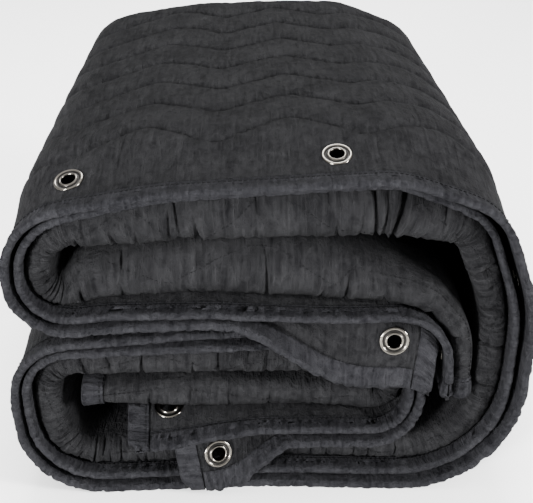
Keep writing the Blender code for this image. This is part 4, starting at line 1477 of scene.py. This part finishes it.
@dataclass
class Eyelet:
    """A pressed nickel eyelet: a barrel through the cloth with a rolled flange on each face."""

    hole: float = 12.7
    width: float = 27.0
    barrel: float = 15.0
    steps: int = 56
    # the outer ring and the inner one, as the way in from the rim or out from the bore, and the height
    outer_ring: tuple[tuple[float, float], ...] = (
        (0.0, 0.05), (0.0, 0.5), (0.4, 1.0), (1.1, 1.35), (1.9, 1.3), (2.6, 0.9), (3.1, 0.35), (3.7, 0.2))
    inner_ring: tuple[tuple[float, float], ...] = (
        (2.7, 0.3), (2.2, 0.9), (1.7, 1.5), (1.1, 1.8), (0.5, 1.6), (0.1, 1.0), (0.0, 0.2))
    # the groove, whose faces get the darker second material as painted shade, lies between these distances
    # from the bore and from the rim
    groove_from: float = 2.3
    groove_to: float = 2.5

    def profile(self, top: float, bottom: float) -> list[tuple[float, float]]:
        """Draw the eyelet's wall from the upper rim down through the bore and back up outside the barrel.

        Args:
            top: The height of the cloth's upper face.
            bottom: The height of its lower face.

        Returns:
            The radius and the height of each corner.
        """
        bore, rim = 0.5 * self.hole, 0.5 * self.width
        upper = [(rim - way, h) for way, h in self.outer_ring]
        upper += [(bore + way, h) for way, h in self.inner_ring]
        lower = [(r, -h) for r, h in reversed(upper)]
        outside = [(0.5 * self.barrel, bottom), (0.5 * self.barrel, top)]
        return ([(r, top + h) for r, h in upper] + [(r, bottom + h) for r, h in lower] + outside)

    def build(self, name: str, centre: Vector, axis: Vector, top: float, bottom: float) -> bpy.types.Object:
        """Turn the profile into one eyelet.

        Args:
            name: The piece's name.
            centre: The middle of the hole, in metres.
            axis: The direction out of the outermost face.
            top: The cloth's outer face, from the centre along the axis, in millimetres.
            bottom: Its other face.

        Returns:
            The finished piece.
        """
        bm = bmesh.new()
        ring = [bm.verts.new((r * MM, 0.0, h * MM)) for r, h in self.profile(top, bottom)]
        edges = [bm.edges.new(pair) for pair in zip(ring, ring[1:] + ring[:1])]
        bmesh.ops.spin(bm, geom=ring + edges, cent=(0, 0, 0), axis=(0, 0, 1), angle=2.0 * math.pi,
                       steps=self.steps, use_merge=True)
        bmesh.ops.remove_doubles(bm, verts=bm.verts, dist=0.00001)
        bmesh.ops.recalc_face_normals(bm, faces=bm.faces)
        for face in bm.faces:
            middle = face.calc_center_median()
            radius = math.hypot(middle.x, middle.y) / MM
            outside = middle.z > top * MM or middle.z < bottom * MM
            if outside and 0.5 * self.hole + self.groove_from < radius < 0.5 * self.width - self.groove_to:
                # the groove's faces take the dark second material: painted shade in the groove
                face.material_index = 1
        place = Matrix.Translation(centre) @ axis.to_track_quat("Z", "Y").to_matrix().to_4x4()
        bmesh.ops.transform(bm, matrix=place, verts=bm.verts)
        mesh = as_mesh(bm, name)
        mesh.shade_smooth()
        return link(name, mesh)


def srgb(colour: str) -> tuple[float, float, float, float]:
    """Turn an sRGB hex colour into Blender's linear one.

    Args:
        colour: The colour, as #rrggbb.

    Returns:
        The linear red, green and blue, and an alpha of 1.
    """
    parts = [int(colour[i:i + 2], 16) / 255.0 for i in (1, 3, 5)]
    linear = [p / 12.92 if p <= 0.04045 else ((p + 0.055) / 1.055) ** 2.4 for p in parts]
    return (*linear, 1.0)


def add_node(tree: bpy.types.NodeTree, kind: str, settings: dict | None = None,
             **links: bpy.types.NodeSocket) -> bpy.types.Node:
    """Add a node to a material.

    Args:
        tree: The material's node tree.
        kind: The node's type.
        settings: Its own properties, and the values of its sockets by name or number.
        links: A socket's name, with underscores for blanks, or i and its number, and what feeds it.

    Returns:
        The node.
    """
    node = tree.nodes.new(kind)
    for key, value in (settings or {}).items():
        if isinstance(key, int) or key in node.inputs:
            node.inputs[key].default_value = value
        else:
            setattr(node, key, value)
    for key, source in links.items():
        numbered = key[0] == "i" and key[1:].isdigit()
        target = node.inputs[int(key[1:]) if numbered else key.replace("_", " ")]
        tree.links.new(source, target)
    return node


def each(size: float) -> float:
    """The scale of a pattern whose grains are this many millimetres wide."""
    return 1.0 / (size * MM)


def bare_material(name: str) -> bpy.types.Material:
    """Make a material whose node tree is still empty.

    Args:
        name: Its name.

    Returns:
        The material.
    """
    made = bpy.data.materials.new(name)
    made.use_nodes = True
    made.node_tree.nodes.clear()
    return made


@dataclass(frozen=True)
class WovenCloth:
    """Black cotton and polyester plain weave: matt, a little fuzzy, with fine wrinkles from sewing."""

    name: str
    colour: str
    # the second colour is the pale end: a painted highlight on wrinkle crests, and mottled tone at random
    pale_crest_and_mottle: str
    roughness: float = 0.92
    thread: float = 0.9
    thread_height: float = 0.3
    wrinkle: float = 4.5
    wrinkle_height: float = 2.6
    wrinkle_stretch: float = 0.16
    rumple: float = 7.5
    rumple_height: float = 3.0
    patch: float = 1000.0 / 22.0
    bump: float = 1.0

    def material(self) -> bpy.types.Material:
        """Make the material.

        Returns:
            The material.
        """
        made = bare_material(self.name)
        tree = made.node_tree
        uv = add_node(tree, "ShaderNodeUVMap", {"uv_map": "flat_cloth"}).outputs[0]
        mottle = add_node(tree, "ShaderNodeTexNoise",
                          {"Scale": each(self.patch), "Detail": 6.0, "Roughness": 0.7}, Vector=uv)
        # two threads of the weave are drawn as one, as single ones are finer than a pixel
        turns = 2.0 * math.pi / 20.0 * each(2.0 * self.thread)
        threads = {"wave_type": "BANDS", "Scale": turns, "Distortion": 0.6, "Detail": 1.0}
        weave = [add_node(tree, "ShaderNodeTexWave", {**threads, "bands_direction": way}, Vector=uv)
                 for way in ("X", "Y")]
        crossed = add_node(tree, "ShaderNodeMath", {"operation": "MULTIPLY"}, i0=weave[0].outputs["Fac"],
                           i1=weave[1].outputs["Fac"])
        fine = add_node(tree, "ShaderNodeBump", {"Strength": 0.35, "Distance": self.thread_height * MM},
                        Height=crossed.outputs[0])
        stretched = (each(self.wrinkle), self.wrinkle_stretch * each(self.wrinkle), 1.0)
        long = add_node(tree, "ShaderNodeMapping", {"Scale": stretched}, Vector=uv)
        gathers = add_node(tree, "ShaderNodeTexNoise", {"Scale": 1.0, "Detail": 3.0, "Roughness": 0.6,
                                                        "Distortion": 0.5}, Vector=long.outputs[0])
        drawn = add_node(tree, "ShaderNodeBump",
                         {"Strength": self.bump, "Distance": self.wrinkle_height * MM},
                         Height=gathers.outputs["Fac"], Normal=fine.outputs[0])
        rumples = add_node(tree, "ShaderNodeTexNoise", {"Scale": each(self.rumple), "Detail": 4.0,
                                                        "Roughness": 0.65, "Distortion": 0.6}, Vector=uv)
        bump = add_node(tree, "ShaderNodeBump",
                        {"Strength": self.bump, "Distance": self.rumple_height * MM},
                        Height=rumples.outputs["Fac"], Normal=drawn.outputs[0])
        # painted highlight on the crests of the wrinkles and painted shade in their valleys, mixed with
        # random mottled tone
        half = add_node(tree, "ShaderNodeMath", {"operation": "ADD"}, i0=gathers.outputs["Fac"],
                        i1=rumples.outputs["Fac"])
        crest_light_and_mottle = add_node(tree, "ShaderNodeMath", {"operation": "ADD"}, i0=half.outputs[0],
                        i1=mottle.outputs["Fac"])
        share = add_node(tree, "ShaderNodeMapRange", {"From Min": 1.15, "From Max": 1.85},
                         Value=crest_light_and_mottle.outputs[0])
        tone = add_node(tree, "ShaderNodeValToRGB", {}, Fac=share.outputs[0])
        tone.color_ramp.elements[0].color = srgb(self.colour)
        tone.color_ramp.elements[1].color = srgb(self.pale_crest_and_mottle)
        shader = add_node(tree, "ShaderNodeBsdfPrincipled",
                          {"Roughness": self.roughness, "Specular IOR Level": 0.04},
                          Base_Color=tone.outputs[0], Normal=bump.outputs[0])
        add_node(tree, "ShaderNodeOutputMaterial", {}, Surface=shader.outputs[0])
        return made


@dataclass(frozen=True)
class SewingThread:
    """Spun polyester thread: a little glossier than the cloth, twisted."""

    name: str = "black spun polyester thread"
    colour: str = "#0a0a0b"
    fibre: float = 1000.0 / 900.0
    fibre_height: float = 0.2

    def material(self) -> bpy.types.Material:
        """Make the material.

        Returns:
            The material.
        """
        made = bare_material(self.name)
        tree = made.node_tree
        place = add_node(tree, "ShaderNodeTexCoord").outputs["Object"]
        # single fibres are far finer than a pixel, so tufts of them are drawn
        fuzz = add_node(tree, "ShaderNodeTexNoise", {"Scale": each(self.fibre), "Detail": 2.0},
                        Vector=place)
        bump = add_node(tree, "ShaderNodeBump", {"Strength": 0.4, "Distance": self.fibre_height * MM},
                        Height=fuzz.outputs["Fac"])
        spun = {"Base Color": srgb(self.colour), "Roughness": 0.8, "Specular IOR Level": 0.04}
        shader = add_node(tree, "ShaderNodeBsdfPrincipled", spun, Normal=bump.outputs[0])
        add_node(tree, "ShaderNodeOutputMaterial", {}, Surface=shader.outputs[0])
        return made


@dataclass(frozen=True)
class NickelPlate:
    """Nickel-plated brass, pressed: bright with small scuffs that dull it."""

    name: str = "pressed nickel plate"
    colour: str = "#56534e"
    smoothest: float = 0.1
    roughest: float = 0.26
    scuff: float = 1000.0 / 350.0
    scuff_height: float = 0.2

    def material(self) -> bpy.types.Material:
        """Make the material.

        Returns:
            The material.
        """
        made = bare_material(self.name)
        tree = made.node_tree
        place = add_node(tree, "ShaderNodeTexCoord").outputs["Object"]
        scuffs = add_node(tree, "ShaderNodeTexNoise", {"Scale": each(self.scuff), "Detail": 4.0},
                          Vector=place)
        span = {"From Min": 0.3, "From Max": 0.7, "To Min": self.smoothest, "To Max": self.roughest}
        rough = add_node(tree, "ShaderNodeMapRange", span, Value=scuffs.outputs["Fac"])
        bump = add_node(tree, "ShaderNodeBump", {"Strength": 0.08, "Distance": self.scuff_height * MM},
                        Height=scuffs.outputs["Fac"])
        shader = add_node(tree, "ShaderNodeBsdfPrincipled",
                          {"Base Color": srgb(self.colour), "Metallic": 1.0},
                          Roughness=rough.outputs[0], Normal=bump.outputs[0])
        add_node(tree, "ShaderNodeOutputMaterial", {}, Surface=shader.outputs[0])
        return made


@dataclass
class Studio:
    """A pale floor, soft light from above and the camera at the photograph's angle."""

    eye: tuple[float, float, float] = (-24.6, -1163.9, 711.6)
    pitch: float = 26.28
    yaw: float = 1.26
    lens: float = 81.2
    sensor: float = 36.0
    horizon: float = 0.2
    zenith: float = 3.1
    floor_half: float = 6.0
    aim: tuple[float, float, float] = (0.0, 0.0, 0.2)
    # each lamp's name, place and size in metres, and watts
    lamps: tuple[tuple[str, tuple[float, float, float], float, float], ...] = (
        ("left", (-1.5, -2.2, 0.6), 0.5, 350.0),
        ("right", (2.2, -1.2, 0.8), 0.5, 260.0),
        ("top", (0.0, 1.2, 2.2), 1.0, 120.0),
    )

    def build(self) -> None:
        """Make the floor, the lights and the camera."""
        scene = bpy.context.scene
        bm = bmesh.new()
        bmesh.ops.create_grid(bm, x_segments=1, y_segments=1, size=self.floor_half)
        floor = link("floor", as_mesh(bm, "floor"))
        paint = bpy.data.materials.new("pale floor")
        paint.use_nodes = True
        shader = paint.node_tree.nodes["Principled BSDF"]
        shader.inputs["Base Color"].default_value = srgb("#f4f4f4")
        shader.inputs["Roughness"].default_value = 0.6
        floor.data.materials.append(paint)
        world = bpy.data.worlds.new("studio")
        world.use_nodes = True
        sky = world.node_tree
        way = add_node(sky, "ShaderNodeTexCoord").outputs["Generated"]
        up = add_node(sky, "ShaderNodeSeparateXYZ", {}, Vector=way)
        glow = add_node(sky, "ShaderNodeMapRange", {"To Min": self.horizon, "To Max": self.zenith},
                        Value=up.outputs["Z"])
        sky.nodes["Background"].inputs["Color"].default_value = srgb("#ffffff")
        sky.links.new(glow.outputs[0], sky.nodes["Background"].inputs["Strength"])
        scene.world = world
        for name, at, size, power in self.lamps:
            data = bpy.data.lights.new(name, "AREA")
            data.size = size
            data.energy = power
            lamp = bpy.data.objects.new(name, data)
            scene.collection.objects.link(lamp)
            lamp.location = at
            lamp.rotation_mode = "QUATERNION"
            lamp.rotation_quaternion = (Vector(self.aim) - Vector(at)).to_track_quat("-Z", "Y")
        data = bpy.data.cameras.new("camera")
        data.lens = self.lens
        data.sensor_width = self.sensor
        camera = bpy.data.objects.new("camera", data)
        camera.location = Vector(self.eye) * MM
        camera.rotation_euler = (math.radians(90.0 - self.pitch), 0.0, math.radians(-self.yaw))
        scene.collection.objects.link(camera)
        scene.camera = camera


def main() -> None:
    """Build the pieces in order and report each."""
    logging.basicConfig(level=logging.INFO)
    Studio().build()
    fold = Fold()
    cloth = QuiltedCloth(fold, Quilting(fold))
    # each second colour paints a highlight on wrinkle crests, mixed with mottled tone
    fabric = WovenCloth("black cotton and polyester cloth", "#060607", "#19191a").material()
    binding = WovenCloth("black woven binding tape", "#08080a", "#1e1e20", thread=0.7, bump=0.9).material()
    nickel = NickelPlate().material()
    # a dark, rougher copy of the nickel that paints shade into the eyelets' groove
    groove = NickelPlate("nickel plate with painted groove shade", "#1b1a19", 0.4, 0.6).material()
    yarn = SewingThread().material()

    panel = cloth.build()
    panel.data.materials.append(fabric)
    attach(panel, "root")
    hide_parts("quilted_panel", "eyelet_band", "second_edge_band")
    LOG.info("cloth: %d faces, %.0f mm across", len(panel.data.polygons), fold.width)

    tape = BindingTape(fold)
    trims = [tape.long("long_binding_1", Edge.FIRST), tape.long("long_binding_2", Edge.SECOND),
             tape.short("end_binding_1", End.START), tape.short("end_binding_2", End.FINISH)]
    nodes = ("binding_long_1", "binding_long_2", "binding_end_1", "binding_end_2")
    for piece, node in zip(trims, nodes):
        piece.data.materials.append(binding)
        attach(piece, "root")
        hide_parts(node)
        LOG.info("%s: %d faces", piece.name, len(piece.data.polygons))

    thread = Thread(fold)
    sewn = [thread.build("quilting_thread", thread.quilting_runs(cloth)),
            thread.build("binding_thread", thread.seam_runs(tape))]
    for piece, slot in zip(sewn, ("quilted_cloth", "binding_tape")):
        piece.data.materials.append(yarn)
        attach(piece, "root")
        LOG.info("%s: %d faces", piece.name, len(piece.data.polygons))

    for number, (q, s) in enumerate(cloth.eyelet_places(), start=1):
        at_q, at_s = np.array(q), np.array(s)
        centre = Vector(fold.middle(at_q, at_s)) * MM
        axis = Vector(fold.frame_at(at_q, at_s)[2])
        half = 0.5 * float(fold.thickness(at_q, at_s))
        ring = Eyelet().build(f"nickel_eyelet_{number:02d}", centre, axis, half, -half)
        ring.data.materials.append(nickel)
        # the second slot holds the painted groove shade
        ring.data.materials.append(groove)
        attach(ring, "root")
        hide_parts(f"eyelet_{number:02d}")
        LOG.info("%s: %d faces", ring.name, len(ring.data.polygons))


if __name__ == "__main__":
    main()
